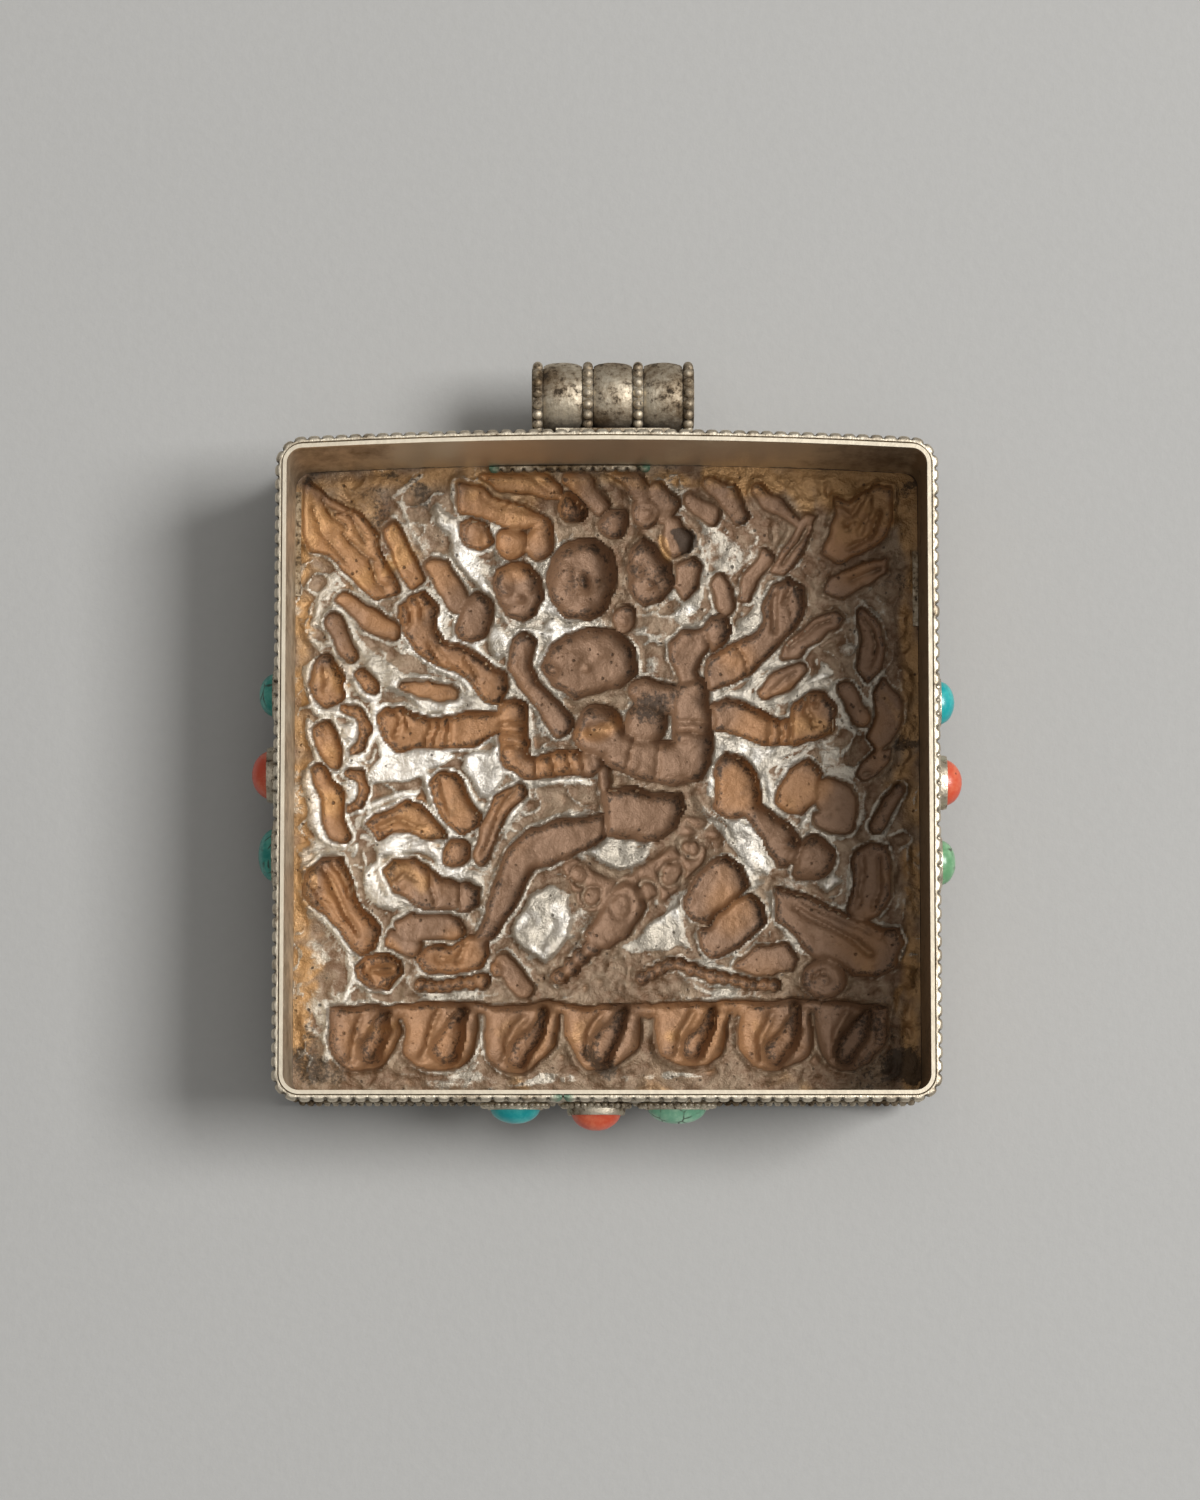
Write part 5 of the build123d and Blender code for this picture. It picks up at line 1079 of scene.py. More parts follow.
def mark(piece, name, values):
    """Notes a tint at each point of a piece, from 0 to 1."""
    piece.data.attributes.new(name, "FLOAT", "POINT").data.foreach_set("value", np.clip(values, 0, 1))


def mark_notches(piece, pitch, wide, reach):
    """Notes the notches of a straight wire as grooves."""
    rows = places_of(piece)
    share = np.mod(rows[:, 0] / pitch, 1.0)
    near = 1 - np.minimum(share, 1 - share) * pitch / reach
    mark(piece, "groove", near * np.clip((rows[:, 1] / wide - 0.3) / 0.2, 0, 1))


def run_of(piece, count, pitch):
    """Repeats one pitch of wire end to end."""
    use(piece, "ARRAY", count=count, use_relative_offset=False, use_constant_offset=True,
        constant_offset_displace=(pitch, 0, 0), use_merge_vertices=True, merge_threshold=0.02 * pitch)


def close_ends(piece):
    """Caps the open ends of a wire."""
    shape(piece)
    bpy.ops.mesh.select_all(action="DESELECT")
    bpy.ops.mesh.select_non_manifold()
    bpy.ops.mesh.edge_face_add()
    outwards()


def outwards():
    """Turns all faces outwards and leaves edit mode."""
    every_point()
    bpy.ops.mesh.normals_make_consistent(inside=False)
    done()


def blurred(field, cells):
    """A field softened over this many cells."""
    reach = np.arange(-int(3 * cells), int(3 * cells) + 1)
    weights = np.exp(-0.5 * (reach / cells) ** 2)
    weights /= weights.sum()
    for axis in (0, 1):
        pad = [(0, 0), (0, 0)]
        pad[axis] = (len(reach) // 2, len(reach) // 2)
        wide = np.pad(field, pad, mode="edge")
        field = sum(weight * np.take(wide, range(i, i + field.shape[axis]), axis)
                    for i, weight in enumerate(weights))
    return field


def stroke_reach(across, up, points, blunt=1.0):
    """How far out each place lies in a stroke, 0 on its line and 1 at its edge, and its half width there."""
    if len(points) == 1:
        x, y, half = points[0]
        return np.hypot(across - x, up - y) / half, np.full(across.shape, half)
    best = np.full(across.shape, 1e3)
    width = np.ones(across.shape)
    for (x0, y0, w0), (x1, y1, w1) in zip(points, points[1:]):
        long = np.hypot(x1 - x0, y1 - y0)
        ahead = ((across - x0) * (x1 - x0) + (up - y0) * (y1 - y0)) / long
        beside = ((up - y0) * (x1 - x0) - (across - x0) * (y1 - y0)) / long
        on_line = np.clip(ahead, 0, long)
        half = w0 + (w1 - w0) * on_line / long
        reach = np.hypot(beside, blunt * (ahead - on_line)) / half
        nearer = reach < best
        best = np.where(nearer, reach, best)
        width = np.where(nearer, half, width)
    return best, width


def line_distance(across, up, points):
    """How far each place lies from a line of points, in millimetres."""
    return stroke_reach(across, up, [(x, y, 1.0) for x, y in points])[0]


def depth_inside(across, up, corners):
    """How far each place lies inside an outline, in millimetres, and below nothing outside it."""
    closed = [*corners, corners[0]]
    away = line_distance(across, up, closed)
    within = np.zeros(across.shape, bool)
    for (x0, y0), (x1, y1) in zip(closed, closed[1:]):
        level = (y0 > up) != (y1 > up)
        within ^= level & (across < x0 + (up - y0) * (x1 - x0) / (y1 - y0 or 1.0))
    return np.where(within, away, -away)


def blobs(across, up, tints):
    """Soft round patches laid over each other."""
    field = np.zeros(across.shape)
    for x, y, spread, strength in tints:
        away = ((across - x) ** 2 + (up - y) ** 2) / spread ** 2
        field = np.maximum(field, strength * np.exp(-away ** 1.5))
    return field


def rise(field, low, high):
    """Rises evenly from 0 to 1 as a field goes from low to high."""
    return np.clip((field - low) / (high - low), 0, 1)


def bell(field, half):
    """A smooth hump, 1 where a field is 0, this half width to either side."""
    return np.exp(-(field / half) ** 2)


def bowl(reach, depth):
    """A hollow with steep sides and a round floor."""
    return depth * np.clip(1 - reach ** 4, 0, 1) ** 0.6


def along_row(points, count):
    """Places spaced evenly along a line of points."""
    line = np.array(points)
    run = np.concatenate([[0], np.cumsum(np.hypot(*np.diff(line, axis=0).T))])
    spots = np.linspace(0, run[-1], count)
    return zip(np.interp(spots, run, line[:, 0]), np.interp(spots, run, line[:, 1]))


def moved(points, x):
    """The points of a petal, put to its place along the foot."""
    return [(x + across, *rest) for across, *rest in points]


def ridges(across, up, table):
    """Each line of a table of lines as a soft ridge."""
    for (height, half), lines in table.items():
        for points in lines:
            yield height * bell(line_distance(across, up, points), half)


def pushed(across, up):
    """What is pushed in: depth below the ground, and the way to the next edge, below nothing inside it."""
    hollow = np.zeros(across.shape)
    edge = np.full(across.shape, 50.0)
    for depth, points in SKIN:
        hollow = np.maximum(hollow, bowl(stroke_reach(across, up, points)[0], depth))
    for depth, points in STROKES:
        reach, width = stroke_reach(across, up, points, BLUNT if len(points) > 2 else 1.0)
        fullest = max(half for x, y, half in points)
        hollow = np.maximum(hollow, bowl(reach, depth) * np.sqrt(np.clip(width / fullest, THIN, 1)))
        edge = np.minimum(edge, (reach - 1) * width)
    for depth, slope, corners in FORMS:
        inner = depth_inside(across, up, corners) + OUTSIDE
        hollow = np.maximum(hollow, bowl(1 - rise(inner, 0, FORM_SLOPE * slope), FORM_DEPTH * depth))
        edge = np.minimum(edge, -inner)
    for points, count, radius, depth in ROWS:
        for x, y in along_row(points, count):
            reach = np.hypot(across - x, up - y) / radius
            hollow = np.maximum(hollow, bowl(reach, depth))
            edge = np.minimum(edge, (reach - 1) * radius)
    foot = rise(PETAL_TOP - up, 0, 0.6)
    for x, lean in PETALS:
        depth, points = PETAL_CUP
        reach, width = stroke_reach(across, up, moved(points, x))
        cup = bowl(reach, depth)
        depth, points = PETAL_DROP
        floor = cup + bowl(stroke_reach(across, up, moved(points, x + lean))[0], depth)
        for height, half, points in PETAL_RIDGES:
            floor = floor - height * bell(line_distance(across, up, moved(points, x)), half)
        hollow = np.maximum(hollow, np.where(cup > 0, np.maximum(floor, 0.3 * cup) * foot, 0))
        edge = np.minimum(edge, np.maximum((reach - 1) * width, up - PETAL_TOP))
    step = STEP_DEPTH * rise(up, *STEP_BELOW) * rise(up, *STEP_ABOVE)
    return np.maximum(hollow, step * rise(STEP_REACH - np.abs(across), 0, 1.5)), edge


def relief(across, up):
    """The picture: depth below the ground, height above it, way to the next edge, ground left bright."""
    hollow, edge = pushed(across, up)
    inside = rise(hollow, 0, 0.35)
    for ridge in ridges(across, up, CREASES):
        hollow = hollow - ridge * inside
    for x, y, radius, height, half in RINGS:
        hollow = hollow - height * bell(np.hypot(across - x, up - y) - radius, half)
    for x, y, half, depth in DENTS:
        hollow = hollow + depth * bell(np.hypot(across - x, up - y), half)
    height, out, half = LIP
    raised = height * bell(edge - out, half)
    for ridge in ridges(across, up, EDGES):
        raised = np.maximum(raised, ridge)
    for x, y, long, wide, turn, height in PILLOWS:
        c, s = cos(radians(turn)), sin(radians(turn))
        along = ((across - x) * c + (up - y) * s) / long
        beside = ((up - y) * c - (across - x) * s) / wide
        raised = np.maximum(raised, height * np.clip(1.15 - along ** 2 - beside ** 2, 0, 1) ** 0.7)
    left = np.zeros(across.shape)
    for height, strength, corners in PATCHES:
        inner = rise(depth_inside(across, up, corners), 0, PATCH_SLOPE)
        raised = np.maximum(raised, height * inner ** 0.7)
        left = np.maximum(left, strength * inner)
    return hollow, raised, edge, left


# The sheet, in millimetres from its middle: where it goes flat to be held, and where the gilt border begins
HELD = 41.0
BORDER = 38.2
# The deepest that the back may lie below its ground
DEEPEST = 4.35
# The depth at which the hollow tint is full
FULL_TINT = 2.5


class AMULET_OT_relief(Operator):
    """Hammers the picture into the sheet that closes the front"""

    bl_idname = "amulet.relief"
    bl_label = "Relief sheet"

    def execute(self, context):
        sizes = context.scene.amulet_sizes
        colours = context.scene.amulet_colours
        count = 2 * (sizes.cells // 2)
        line = np.linspace(-HALF, HALF, count + 1)
        across, up = np.meshgrid(line, line)
        below, fields = self.hammered(across / MM, up / MM, 2 * HALF / MM / count)
        plan = self.fitted(across, up, sizes.corner)
        heights = BACK - below * MM
        sheet = self.skin("relief_sheet", count, plan, heights, fields, back_finish(colours))
        every = slice(None, None, 2)
        thinned = {name: field[every, every] for name, field in fields.items()}
        front = self.skin("relief_front", count // 2, plan[:, every, every],
                          heights[every, every] - sizes.sheet, thinned, front_finish(colours))
        shape(front)
        bpy.ops.mesh.flip_normals()
        done()
        choose(sheet, front)
        bpy.ops.object.join()
        shape(sheet)
        bpy.ops.mesh.select_all(action="DESELECT")
        bpy.ops.mesh.select_non_manifold()
        bpy.ops.mesh.bridge_edge_loops()
        done()
        finish_piece(sheet, "relief_sheet", None, ["front_panel"], angle=60)
        return {"FINISHED"}

    def hammered(self, across, up, cell):
        """How far the back lies below its ground, in millimetres, and the tints that go with it."""
        seed = np.random.default_rng(5)

        def uneven(wide, amount):
            """Smooth random ups and downs, this wide in millimetres, of this size on average."""
            field = blurred(seed.standard_normal(across.shape), wide / cell)
            return field * amount / field.std()

        wander = [uneven(1.8, 0.3) + uneven(0.6, 0.1) for axis in range(2)]
        hollow, raised, edge, left = relief(across + wander[0], up + wander[1])
        hammer = uneven(1.3, 0.08)
        fine = uneven(0.4, 0.035)
        scroll = bell(uneven(0.95, 1.0), 0.3)
        fold = bell(uneven(0.7, 1.0), 0.25)
        crumple = uneven(0.6, 0.14)
        stray = [uneven(1.6, 1.2) for axis in range(2)]
        cloud = uneven(1.3, 0.22)
        fleck = uneven(0.4, 0.15)

        below = blurred(hollow, 0.12 / cell)
        raised = np.maximum(raised, 0.42 * scroll * rise(edge, 0.5, 1.3) * (left < 0.1))
        lift = raised * (1 - rise(below, 0, 1.2)) + hammer + fine
        lift = lift + 0.1 * fold * rise(below, 0.5, 1.3) + crumple * (1 - rise(below, 0, 0.5))
        margin = rise(HELD - np.maximum(np.abs(across), np.abs(up)), 0, 0.8)
        below = np.minimum((below - lift) * margin, DEEPEST)

        shallow = 1 - rise(below, 0, 0.6)
        ridge = rise(blurred(below, 1.0 / cell) - below, 0, 0.6)
        # Painted shade: the creases at the foot of the hollows' walls, darkened below.
        painted_crease_shade = rise(below - blurred(below, 0.8 / cell), 0, 0.5)
        ground = rise(edge, 0.05, 0.55) * shallow
        rub = rise(raised, 0, 0.4) ** 1.5 * shallow
        worn = np.clip(np.maximum(rub, (0.4 + cloud) * ground) + 0.4 * ridge, 0, 1)
        border = rise(np.maximum(np.abs(across), up) - BORDER, 0, 1.6)
        tints = {name: blobs(across + stray[0], up + stray[1], spots) for name, spots in TINTS.items()}
        tints["bright"] = np.maximum(worn * (0.3 + 0.7 * tints["bright"]),
                                     left * shallow * (0.86 + cloud + fleck))
        tints["gilt"] = np.maximum(tints["gilt"], (0.62 + cloud) * border)
        # Painted shade: a dark line just inside the edge of every hollow. It joins the creases' painted
        # shade, a darker border and the dark spots listed above in one tint.
        painted_edge_shade = 0.35 * bell(edge + 0.3, 0.25)
        tints["soot_and_shade"] = np.maximum.reduce([tints["soot_and_shade"], 0.3 * border, 0.65 * painted_crease_shade, painted_edge_shade])
        return below, {"hollow": rise(below, 0, FULL_TINT), **tints}

    def fitted(self, across, up, corner):
        """The plan of the sheet: a square with its corners rounded and its top side bowed."""
        plan = np.stack([across, up])
        flat = HALF - corner
        over = np.clip(np.abs(plan) - flat, 0, None)
        share = over.max(0) / np.maximum(np.hypot(*over), 1e-9)
        plan = np.where((over > 0).all(0), np.sign(plan) * (flat + over * share), plan)
        top = np.clip((plan[1] - 0.7 * HALF) / (0.3 * HALF), 0, 1)
        plan[1] += BOW * top * top * np.clip(1 - (plan[0] / HALF) ** 2, 0, 1)
        return plan

    def skin(self, name, count, plan, heights, fields, material):
        """One side of the sheet: a grid laid to a plan and heights, with its tints."""
        choose()
        bpy.ops.mesh.primitive_grid_add(x_subdivisions=count, y_subdivisions=count, size=2 * HALF)
        piece = started(name)
        rows = np.round(places_of(piece), 7)
        order = np.lexsort((rows[:, 0], rows[:, 1]))
        rows[order] = np.column_stack([plan[0].ravel(), plan[1].ravel() + CENTRE_Y, heights.ravel()])
        move_to(piece, rows)
        for tint, field in fields.items():
            values = np.empty(len(rows), np.float32)
            values[order] = field.ravel()
            mark(piece, tint, values)
        piece.data.materials.append(material)
        return piece


# Where along the foot the ends of the rim wire meet
RIM_JOINT = -5.5 * MM


class AMULET_OT_wires(Operator):
    """Bends the beaded rim wire, the twisted wire and the milled front wire round the band"""

    bl_idname = "amulet.wires"
    bl_label = "Wires"

    def execute(self, context):
        sizes = context.scene.amulet_sizes
        colours = context.scene.amulet_colours
        rim_metal = silver_finish("rim_wire_silver", colours, tarnish=0.4, grime=0.35, scale=1.6)
        low_metal = silver_finish("side_wire_silver", colours, tarnish=0.7, grime=0.62, scale=1.6)

        start = RIM_JOINT
        middle = sizes.rim_wire / 2
        length = band_line(middle, start)[2][-1] - sizes.rim_gap
        count = round(length / sizes.rim_pitch)
        rim = beaded_length("rim_beads", length / count, sizes.rim_wire, sizes.rim_tall)
        run_of(rim, count, length / count)
        close_ends(rim)
        mark_notches(rim, length / count, sizes.rim_wire, 0.6 * MM)
        run = places_of(rim)[:, 0]
        mark(rim, "green", 1 - np.minimum(run, length - run) / (2.0 * MM))
        lay_round(rim, middle, RIM - sizes.rim_tall / 2, start)
        finish_piece(rim, "rim_beads", rim_metal, ["rim_bead_wire"])

        middle = sizes.twist_wire / 2
        length = band_line(middle, 0.0)[2][-1]
        count = round(length / sizes.twist_pitch)
        pitch = length / count
        twist = wire_length("side_twist", TWIST_SIDES, TWIST_RINGS, pitch, sizes.twist_wire,
                            sizes.twist_wire)
        every_point()
        shift((0, -middle, 0))
        for i in range(TWIST_RINGS + 1):
            at = pitch * i / TWIST_RINGS
            squeeze(twist, at, pitch, lambda place: True, TWIST_FLAT, (0, 0))
            bpy.ops.transform.rotate(value=pi * i / TWIST_RINGS, orient_axis="X", center_override=(at, 0, 0))
        every_point()
        shift((0, middle, 0))
        done()
        run_of(twist, count, pitch)
        lay_round(twist, middle, RIM - sizes.rim_tall - sizes.twist_wire / 2, 0.0)
        self.close_loop(twist)
        finish_piece(twist, "side_twist", low_metal, ["twisted_wire"])

        middle = sizes.front_wire / 2
        length = band_line(middle, 0.0)[2][-1]
        count = round(length / sizes.front_pitch)
        pitch = length / count
        rings = len(MILL_SWELL) - 1
        front = wire_length("front_milling", MILL_SIDES, rings, pitch, sizes.front_wire, sizes.front_tall)
        for i, swell in enumerate(MILL_SWELL):
            at = pitch * i / rings
            squeeze(front, at, pitch, lambda place: place.y > 0.3 * sizes.front_wire, swell, (0, 0))
        done()
        run_of(front, count, pitch)
        mark_notches(front, pitch, sizes.front_wire, 0.35 * MM)
        lay_round(front, middle, BACK - WALL + sizes.front_tall / 2, 0.0)
        self.close_loop(front)
        finish_piece(front, "front_milling", low_metal, ["front_wire"])
        return {"FINISHED"}

    def close_loop(self, piece):
        shape(piece)
        bpy.ops.mesh.remove_doubles(threshold=0.02 * MM)
        outwards()


# Beads of the strip at the top, and how far it stands off the band
STRIP_BEADS = 14
STRIP_WIDE = 1.0 * MM


class AMULET_OT_strips(Operator):
    """Sets the beaded strip into the corner of band and sheet, and gives the holding strips their finish"""

    bl_idname = "amulet.strips"
    bl_label = "Inner strips"

    def execute(self, context):
        colours = context.scene.amulet_colours
        metal = silver_finish("strip_silver", colours, tarnish=0.9, grime=0.62, scale=1.6)
        low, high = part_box("inner_bead_strip")
        tall = high.z - low.z
        pitch = (high.x - low.x) / STRIP_BEADS
        strip = beaded_length("strip_beads", pitch, STRIP_WIDE, tall)
        run_of(strip, STRIP_BEADS, pitch)
        close_ends(strip)
        mark_notches(strip, pitch, STRIP_WIDE, 0.5 * MM)
        rows = places_of(strip)
        mark(strip, "green", 0.9 - np.minimum(rows[:, 0], high.x - low.x - rows[:, 0]) / (2.5 * MM))
        x = rows[:, 0] + low.x
        wall = CENTRE_Y + HALF - WALL + BOW * (1 - (x / HALF) ** 2)
        move_to(strip, np.column_stack([x, wall - rows[:, 1], rows[:, 2] + low.z + tall / 2]))
        shape(strip)
        outwards()
        finish_piece(strip, "strip_beads", metal, ["inner_bead_strip"])
        for node in ("holding_strip_left", "holding_strip_right"):
            dress(node, metal)
        return {"FINISHED"}


class AMULET_OT_band(Operator):
    """Gives the case's band and the plates on its sides their finish"""

    bl_idname = "amulet.band"
    bl_label = "Band and plates"

    def execute(self, context):
        colours = context.scene.amulet_colours
        dress("case_wall", band_finish(colours))
        plate = silver_finish("plate_silver", colours, tarnish=0.6, grime=0.5)
        for side in ("left", "right", "bottom"):
            dress(f"stone_plate_{side}", plate)
        return {"FINISHED"}


# Beads on a ring of the cord tube
RING_BEADS = 18
# The swell of a barrel: its share of the full radius at shares of its length from either end
BARREL_PROFILE = {0.0: 0.88, 0.06: 0.925, 0.14: 0.955, 0.24: 0.98, 0.36: 0.995}


class AMULET_OT_bail(Operator):
    """Threads the beaded rings and swelling barrels on the cord tube"""

    bl_idname = "amulet.bail"
    bl_label = "Cord tube"

    def execute(self, context):
        colours = context.scene.amulet_colours
        metal = silver_finish("bail_silver", colours, tarnish=0.66, grime=0.6, scale=1.2, rough=0.5)
        for node in ("bail_tube", "bail_foot"):
            dress(node, metal)
        low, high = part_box("bail_tube")
        middle = (low + high) / 2
        bore = (high.y - low.y) / 2
        for i in range(1, 5):
            self.ring(f"bail_ring_{i}", middle, bore, metal)
        for i, side in enumerate(("left", "middle", "right")):
            self.barrel(f"bail_barrel_{side}", middle, bore, metal, seed=i + 3)
        return {"FINISHED"}

    def ring(self, node, middle, bore, metal):
        """A band with a row of round beads on it."""
        low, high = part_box(node)
        long = high.x - low.x
        outer = (high.z - low.z) / 2
        bead_radius = 0.5 * long
        bead = ball("bead", segments=10, rings=7, radius=bead_radius)
        shape(bead)
        resize((0.96, 0.95, 1.0))
        pick(bead, lambda place: place.z < -0.3 * bead_radius)
        resize((1.05, 1.2, 0.8))
        done()
        spot = ((low.x + high.x) / 2, middle.y, middle.z)
        places = []
        for i in range(RING_BEADS):
            turn = Matrix.Rotation(2 * pi * i / RING_BEADS, 4, "X")
            sunk = bead_radius * (1.0 + 0.05 * ((i * 7) % 3))
            places.append(Matrix.Translation(spot) @ turn @ Matrix.Translation((0, 0, outer - sunk)))
        beads = copies(bead, places)
        seat = outer - 0.95 * bead_radius
        band = tube("band", sides=40, radius=seat, middle=spot, long=0.9 * long)
        use(band, "SOLIDIFY", thickness=seat - bore, offset=-1.0)
        use(band, "BEVEL", width=0.1 * MM, segments=2)
        choose(beads, band)
        bpy.ops.object.join()
        rows = places_of(beads) - np.array(middle)
        deep = (outer - 0.45 * MM - np.hypot(rows[:, 1], rows[:, 2])) / (0.5 * MM)
        mark(beads, "groove", deep + np.clip(-rows[:, 1] / outer - 0.2, 0, 1) * 0.5)
        finish_piece(beads, f"beads_{node}", metal, [node], angle=50)

    def barrel(self, node, middle, bore, metal, seed):
        """A short tube that swells in its middle, dented by wear."""
        low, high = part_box(node)
        long = high.x - low.x
        outer = (high.z - low.z) / 2
        spot = ((low.x + high.x) / 2, middle.y, middle.z)
        barrel = tube(node, sides=56, radius=outer, middle=spot, long=long)
        shape(barrel)
        shares = [*BARREL_PROFILE][1:]
        shares = [*shares, 0.5, *(1 - share for share in reversed(shares))]
        cut_rings([low.x + long * share for share in shares])
        for share, size in BARREL_PROFILE.items():
            for at in (low.x + share * long, high.x - share * long):
                pick(barrel, lambda place: abs(place.x - at) < 0.01 * long)
                resize((1, size, size), (at, middle.y, middle.z))
        every_point()
        roughen(0.05 * MM, seed)
        bpy.ops.mesh.vertices_smooth(factor=0.4, repeat=1)
        bpy.ops.mesh.normals_make_consistent(inside=False)
        done()
        rows = places_of(barrel)
        rows[:, 0] = np.clip(rows[:, 0], low.x, high.x)
        away = rows[:, 1:] - np.array([middle.y, middle.z])
        reach = np.hypot(*away.T)
        rows[:, 1:] = np.array([middle.y, middle.z]) + away * (np.minimum(reach, outer) / reach)[:, None]
        move_to(barrel, rows)
        mark(barrel, "groove", 0.75 * np.clip((middle.y - rows[:, 1]) / outer + 0.1, 0, 1) ** 1.5)
        use(barrel, "SOLIDIFY", thickness=0.88 * outer - bore - 0.08 * MM, offset=-1.0)
        finish_piece(barrel, f"worn_{node}", metal, [node], angle=50)


# How far a bezel stands out round its stone, and the radius of a collar's beads
BEZEL_OUT = 0.4 * MM
COLLAR_BEAD = 0.44 * MM


class AMULET_OT_stones(Operator):
    """Sets the turquoises and corals in their bezels and beaded collars"""

    bl_idname = "amulet.stones"
    bl_label = "Stones and settings"

    def execute(self, context):
        colours = context.scene.amulet_colours
        metal = silver_finish("setting_silver", colours, tarnish=0.5, grime=0.55, scale=1.6)
        coral = coral_finish(colours)
        teal = turquoise_finish("turquoise_teal", colours, tone(24, 138, 128), tone(92, 178, 160), 0.5)
        bright = turquoise_finish("turquoise_bright", colours, tone(20, 160, 164), tone(70, 190, 186), 0.2)
        green = turquoise_finish("turquoise_green", colours, tone(104, 158, 112), tone(150, 196, 152), 0.55)
        pale = turquoise_finish("turquoise_pale", colours, tone(122, 182, 148), tone(168, 212, 180), 0.8)
        stones = {
            "left": [("turquoise_left_upper", teal), ("coral_left", coral), ("turquoise_left_lower", teal)],
            "right": [("turquoise_right_upper", bright), ("coral_right", coral),
                      ("turquoise_right_lower", green)],
            "bottom": [("turquoise_bottom_left", bright), ("coral_bottom", coral),
                       ("turquoise_bottom_right", pale)],
        }
        away = {"left": Vector((-1, 0, 0)), "right": Vector((1, 0, 0)), "bottom": Vector((0, -1, 0))}
        seed = 0
        for side, row in stones.items():
            rims = []
            collars = []
            for node, material in row:
                seed += 1
                seat = self.seat(node, away[side])
                self.stone(node, seat, material, seed)
                rims.append(self.bezel(seat, node))
                collars.append(self.collar(seat))
            for name, node, made in (("rims", "bezels", rims), ("collars", "bead_collars", collars)):
                choose(*made)
                bpy.ops.object.join()
                finish_piece(made[0], f"{name}_{side}", metal, [f"{node}_{side}"], angle=50)
        return {"FINISHED"}

    def seat(self, node, out):
        """A stone's seat: a frame, X along the side, Y up it, Z away from it, and the stone's three sizes."""
        low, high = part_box(node)
        along = Vector((0, 0, 1)).cross(out) * -1
        size = high - low
        long = abs(size.dot(along))
        deep = abs(size.dot(out))
        foot = (low + high) / 2 - out * deep / 2
        turn = Matrix((along, out.cross(along), out)).transposed().to_4x4()
        return Matrix.Translation(foot) @ turn, long, size.z, deep

    def stone(self, node, seat, material, seed):
        """A dome on a straight girdle, ground by hand, so not quite even."""
        place, long, tall, deep = seat
        stone = ball(node, segments=36, rings=20, radius=0.5)
        girdle = 0.28 * deep
        shape(stone)
        bpy.ops.mesh.bisect(plane_co=(0, 0, 0), plane_no=(0, 0, 1), clear_inner=True)
        every_point()
        resize((long, tall, 2 * (deep - girdle)))
        shift((0, 0, girdle))
        pick(stone, lambda place: place.z < girdle + 0.01 * MM)
        bpy.ops.mesh.extrude_region_move(TRANSFORM_OT_translate={"value": (0, 0, -girdle)})
        bpy.ops.mesh.edge_face_add()
        pick(stone, lambda place: place.z > girdle + 0.02 * MM)
        roughen(0.07 * MM, seed)
        bpy.ops.mesh.vertices_smooth(factor=0.5, repeat=4)
        outwards()
        rows = places_of(stone)
        rows[:, 2] *= deep / rows[:, 2].max()
        move_to(stone, rows)
        stone.data.transform(place)
        finish_piece(stone, f"stone_{node}", material, [node], angle=50)

    def bezel(self, seat, node):
        """A thin rim pressed against the stone."""
        place, long, tall = seat[:3]
        girdle = (1.2 if node.startswith("coral") else 0.5) * MM
        high = girdle + 0.5 * MM
        choose()
        bpy.ops.mesh.primitive_cylinder_add(vertices=36, radius=0.5, depth=high, end_fill_type="NOTHING",
                                            location=(0, 0, high / 2))
        rim = started("rim")
        shape(rim)
        bpy.ops.mesh.bisect(plane_co=(0, 0, girdle), plane_no=(0, 0, 1))
        every_point()
        resize((long + 2 * BEZEL_OUT, tall + 2 * BEZEL_OUT, 1))
        pick(rim, lambda place: place.z > high - 0.01 * MM)
        resize((0.955, 0.955, 1))
        roughen(0.05 * MM, len(node))
        outwards()
        use(rim, "SOLIDIFY", thickness=0.3 * MM, offset=-1.0)
        rim.data.transform(place)
        return rim

    def collar(self, seat):
        """A ring of small beads round the foot of a bezel."""
        place, long, tall = seat[:3]
        radius = COLLAR_BEAD
        bead = ball("bead", segments=8, rings=6, radius=radius)
        shape(bead)
        pick(bead, lambda place: place.z < -0.3 * radius)
        resize((1.1, 1.1, 0.85))
        done()
        half = np.array([long, tall]) / 2 + BEZEL_OUT + radius
        turns = np.linspace(0, 2 * pi, 400)
        oval = np.stack([half[0] * np.cos(turns), half[1] * np.sin(turns)], 1)
        run = np.concatenate([[0], np.cumsum(np.hypot(*np.diff(oval, axis=0).T))])
        count = round(run[-1] / (2.02 * radius))
        spots = []
        for at in np.arange(count) * run[-1] / count:
            x, y = (np.interp(at, run, oval[:, axis]) for axis in (0, 1))
            spots.append(place @ Matrix.Translation((x, y, 0.97 * radius)))
        return copies(bead, spots)


# The stage, in metres: the paper's width, the lamps as place, width and power, and the light from all round
PAPER = 3.0
LAMPS = {
    "window_lamp": ((0.9, 0.16, 1.25), 0.6, 19.5),
    "ceiling_lamp": ((0.1, 0.1, 1.9), 1.6, 7.0),
}
AIR_COLOUR = (1.0, 0.985, 0.96, 1.0)
AIR_STRENGTH = 0.18
# The camera: how far it leans, its way to the rim, its shift to the side and up, then its lens and sensor in
# millimetres
CAMERA_LEAN = radians(6)
CAMERA_AWAY = 0.640
CAMERA_SIDE = -0.000901
CAMERA_UP = 0.002188
LENS = 119.35
SENSOR = (28.8, 36.0)


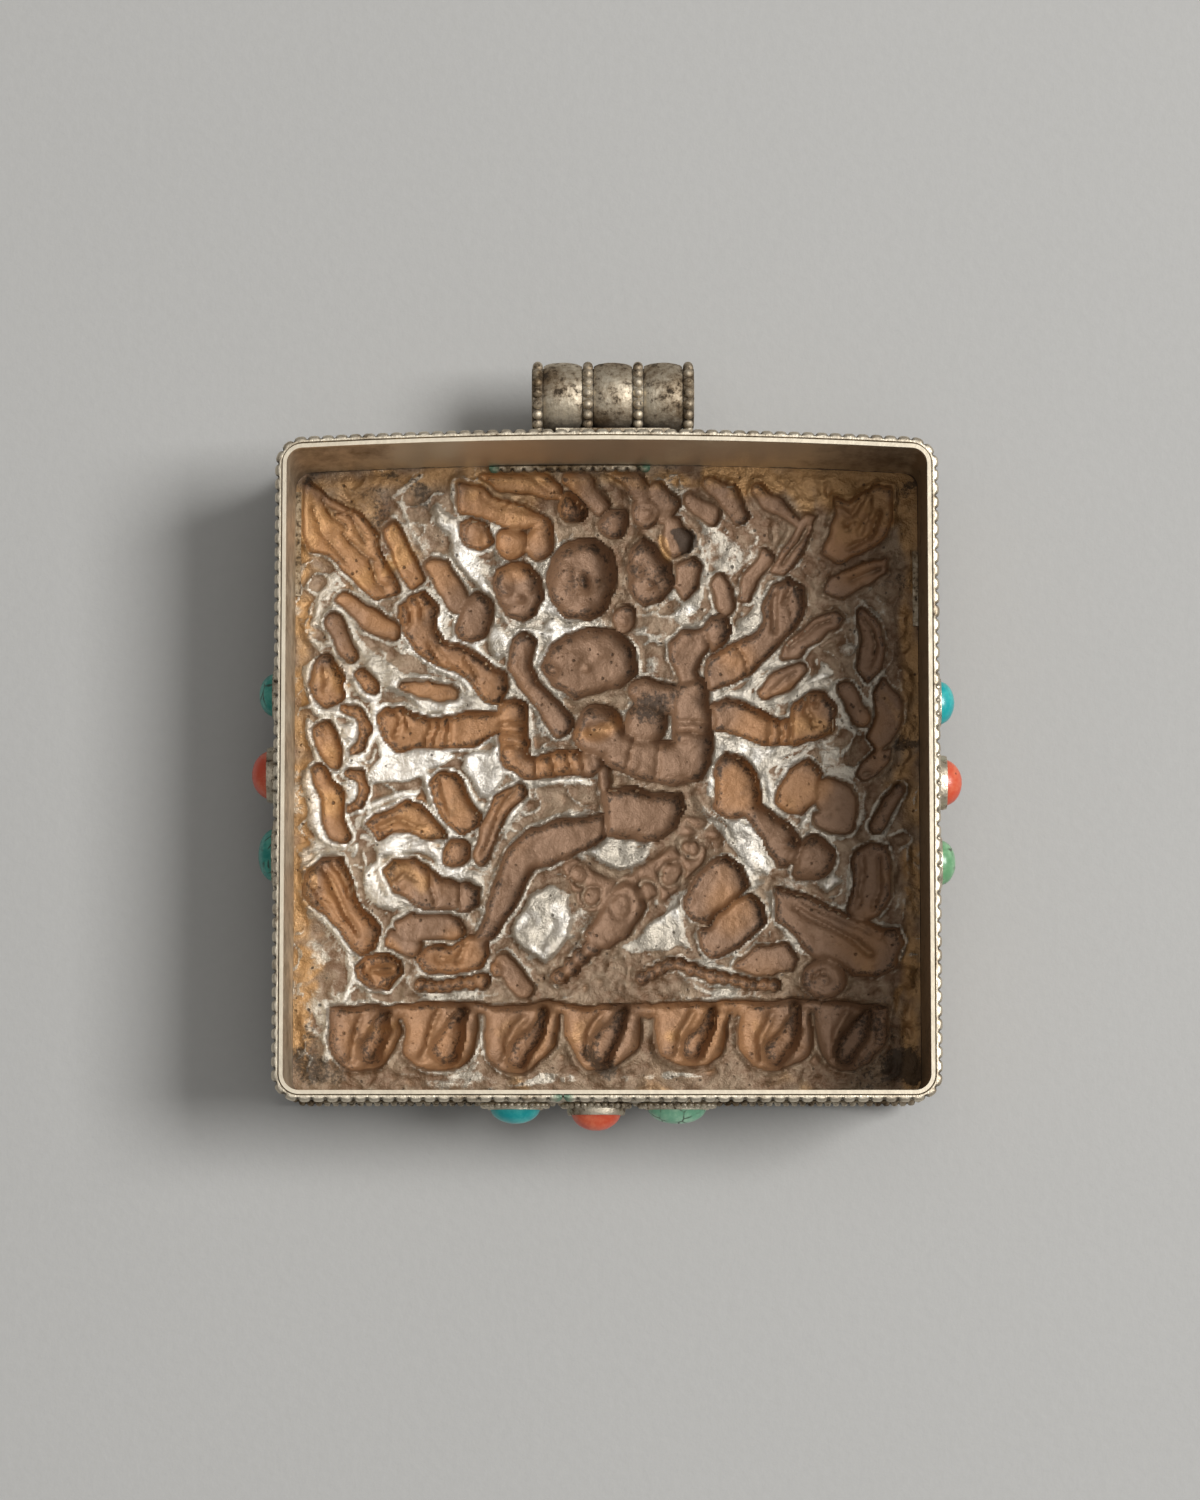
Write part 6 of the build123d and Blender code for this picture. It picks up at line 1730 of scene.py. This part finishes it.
class AMULET_OT_stage(Operator):
    """Lays the box on pale paper under a large soft lamp, with the camera above it"""

    bl_idname = "amulet.stage"
    bl_label = "Stage"

    def execute(self, context):
        scene = context.scene
        colours = scene.amulet_colours
        choose()
        bpy.ops.mesh.primitive_grid_add(x_subdivisions=60, y_subdivisions=60, size=PAPER)
        floor = started("paper_floor")
        paper = Finish("paper")
        fibre = paper.noise(700, 4.0, 0.6)
        wide = paper.noise(9, 3.0)
        grey = [share * 0.97 for share in colours.floor]
        colour = paper.mix(paper.step(fibre * 0.5 + wide * 0.5, 0.35, 0.65), grey, colours.floor)
        paper.set(Base_Color=colour, Roughness=0.9, Normal=paper.bump(fibre, 0.12, 0.6 * MM))
        paper.shader.inputs["Specular IOR Level"].default_value = 0.2
        floor.data.materials.append(paper.material)

        world = bpy.data.worlds.new("studio")
        scene.world = world
        world.use_nodes = True
        background = world.node_tree.nodes["Background"]
        background.inputs["Color"].default_value = AIR_COLOUR
        background.inputs["Strength"].default_value = AIR_STRENGTH

        for name, (spot, size, power) in LAMPS.items():
            self.lamp(name, spot, size, power)

        across = Vector((1, 0, 0))
        up = Vector((0, cos(CAMERA_LEAN), sin(CAMERA_LEAN)))
        back = Vector((0, -sin(CAMERA_LEAN), cos(CAMERA_LEAN)))
        camera_data = bpy.data.cameras.new("camera")
        camera_data.sensor_fit = "VERTICAL"
        camera_data.sensor_width, camera_data.sensor_height = SENSOR
        camera_data.lens = LENS
        camera_data.clip_start = 0.01
        camera = bpy.data.objects.new("camera", camera_data)
        scene.collection.objects.link(camera)
        spot = Vector((0, CENTRE_Y, RIM)) + CAMERA_AWAY * back + CAMERA_SIDE * across + CAMERA_UP * up
        turn = Matrix((across, up, back)).transposed().to_4x4()
        camera.matrix_world = Matrix.Translation(spot) @ turn
        scene.camera = camera
        scene.view_settings.view_transform = "Standard"
        return {"FINISHED"}

    def lamp(self, name, spot, size, power):
        """A square soft lamp aimed at the box."""
        data = bpy.data.lights.new(name, "AREA")
        data.shape = "SQUARE"
        data.size = size
        data.energy = power
        lamp = bpy.data.objects.new(name, data)
        bpy.context.scene.collection.objects.link(lamp)
        aim = Vector((0, CENTRE_Y, 0)) - Vector(spot)
        lamp.matrix_world = Matrix.Translation(spot) @ aim.to_track_quat("-Z", "Y").to_matrix().to_4x4()


class AMULET_PT_panel(Panel):
    """Lists the steps that dress the box, and the sizes and colours they use"""

    bl_idname = "AMULET_PT_panel"
    bl_label = "Amulet box"
    bl_space_type = "VIEW_3D"
    bl_region_type = "UI"
    bl_category = "Amulet box"

    def draw(self, context):
        layout = self.layout
        for step in STEPS:
            layout.operator(step.bl_idname)
        for group in (context.scene.amulet_sizes, context.scene.amulet_colours):
            box = layout.box()
            for name in group.__annotations__:
                box.prop(group, name)


STEPS = [
    AMULET_OT_band,
    AMULET_OT_relief,
    AMULET_OT_wires,
    AMULET_OT_strips,
    AMULET_OT_bail,
    AMULET_OT_stones,
    AMULET_OT_stage,
]
CLASSES = [AmuletBoxSizes, AmuletBoxColours, *STEPS, AMULET_PT_panel]


def register():
    for cls in CLASSES:
        bpy.utils.register_class(cls)
    bpy.types.Scene.amulet_sizes = PointerProperty(type=AmuletBoxSizes)
    bpy.types.Scene.amulet_colours = PointerProperty(type=AmuletBoxColours)


def unregister():
    del bpy.types.Scene.amulet_colours
    del bpy.types.Scene.amulet_sizes
    for cls in reversed(CLASSES):
        bpy.utils.unregister_class(cls)


def main():
    register()
    bpy.ops.amulet.band()
    bpy.ops.amulet.relief()
    bpy.ops.amulet.wires()
    bpy.ops.amulet.strips()
    bpy.ops.amulet.bail()
    bpy.ops.amulet.stones()
    bpy.ops.amulet.stage()


if __name__ == "__main__":
    main()
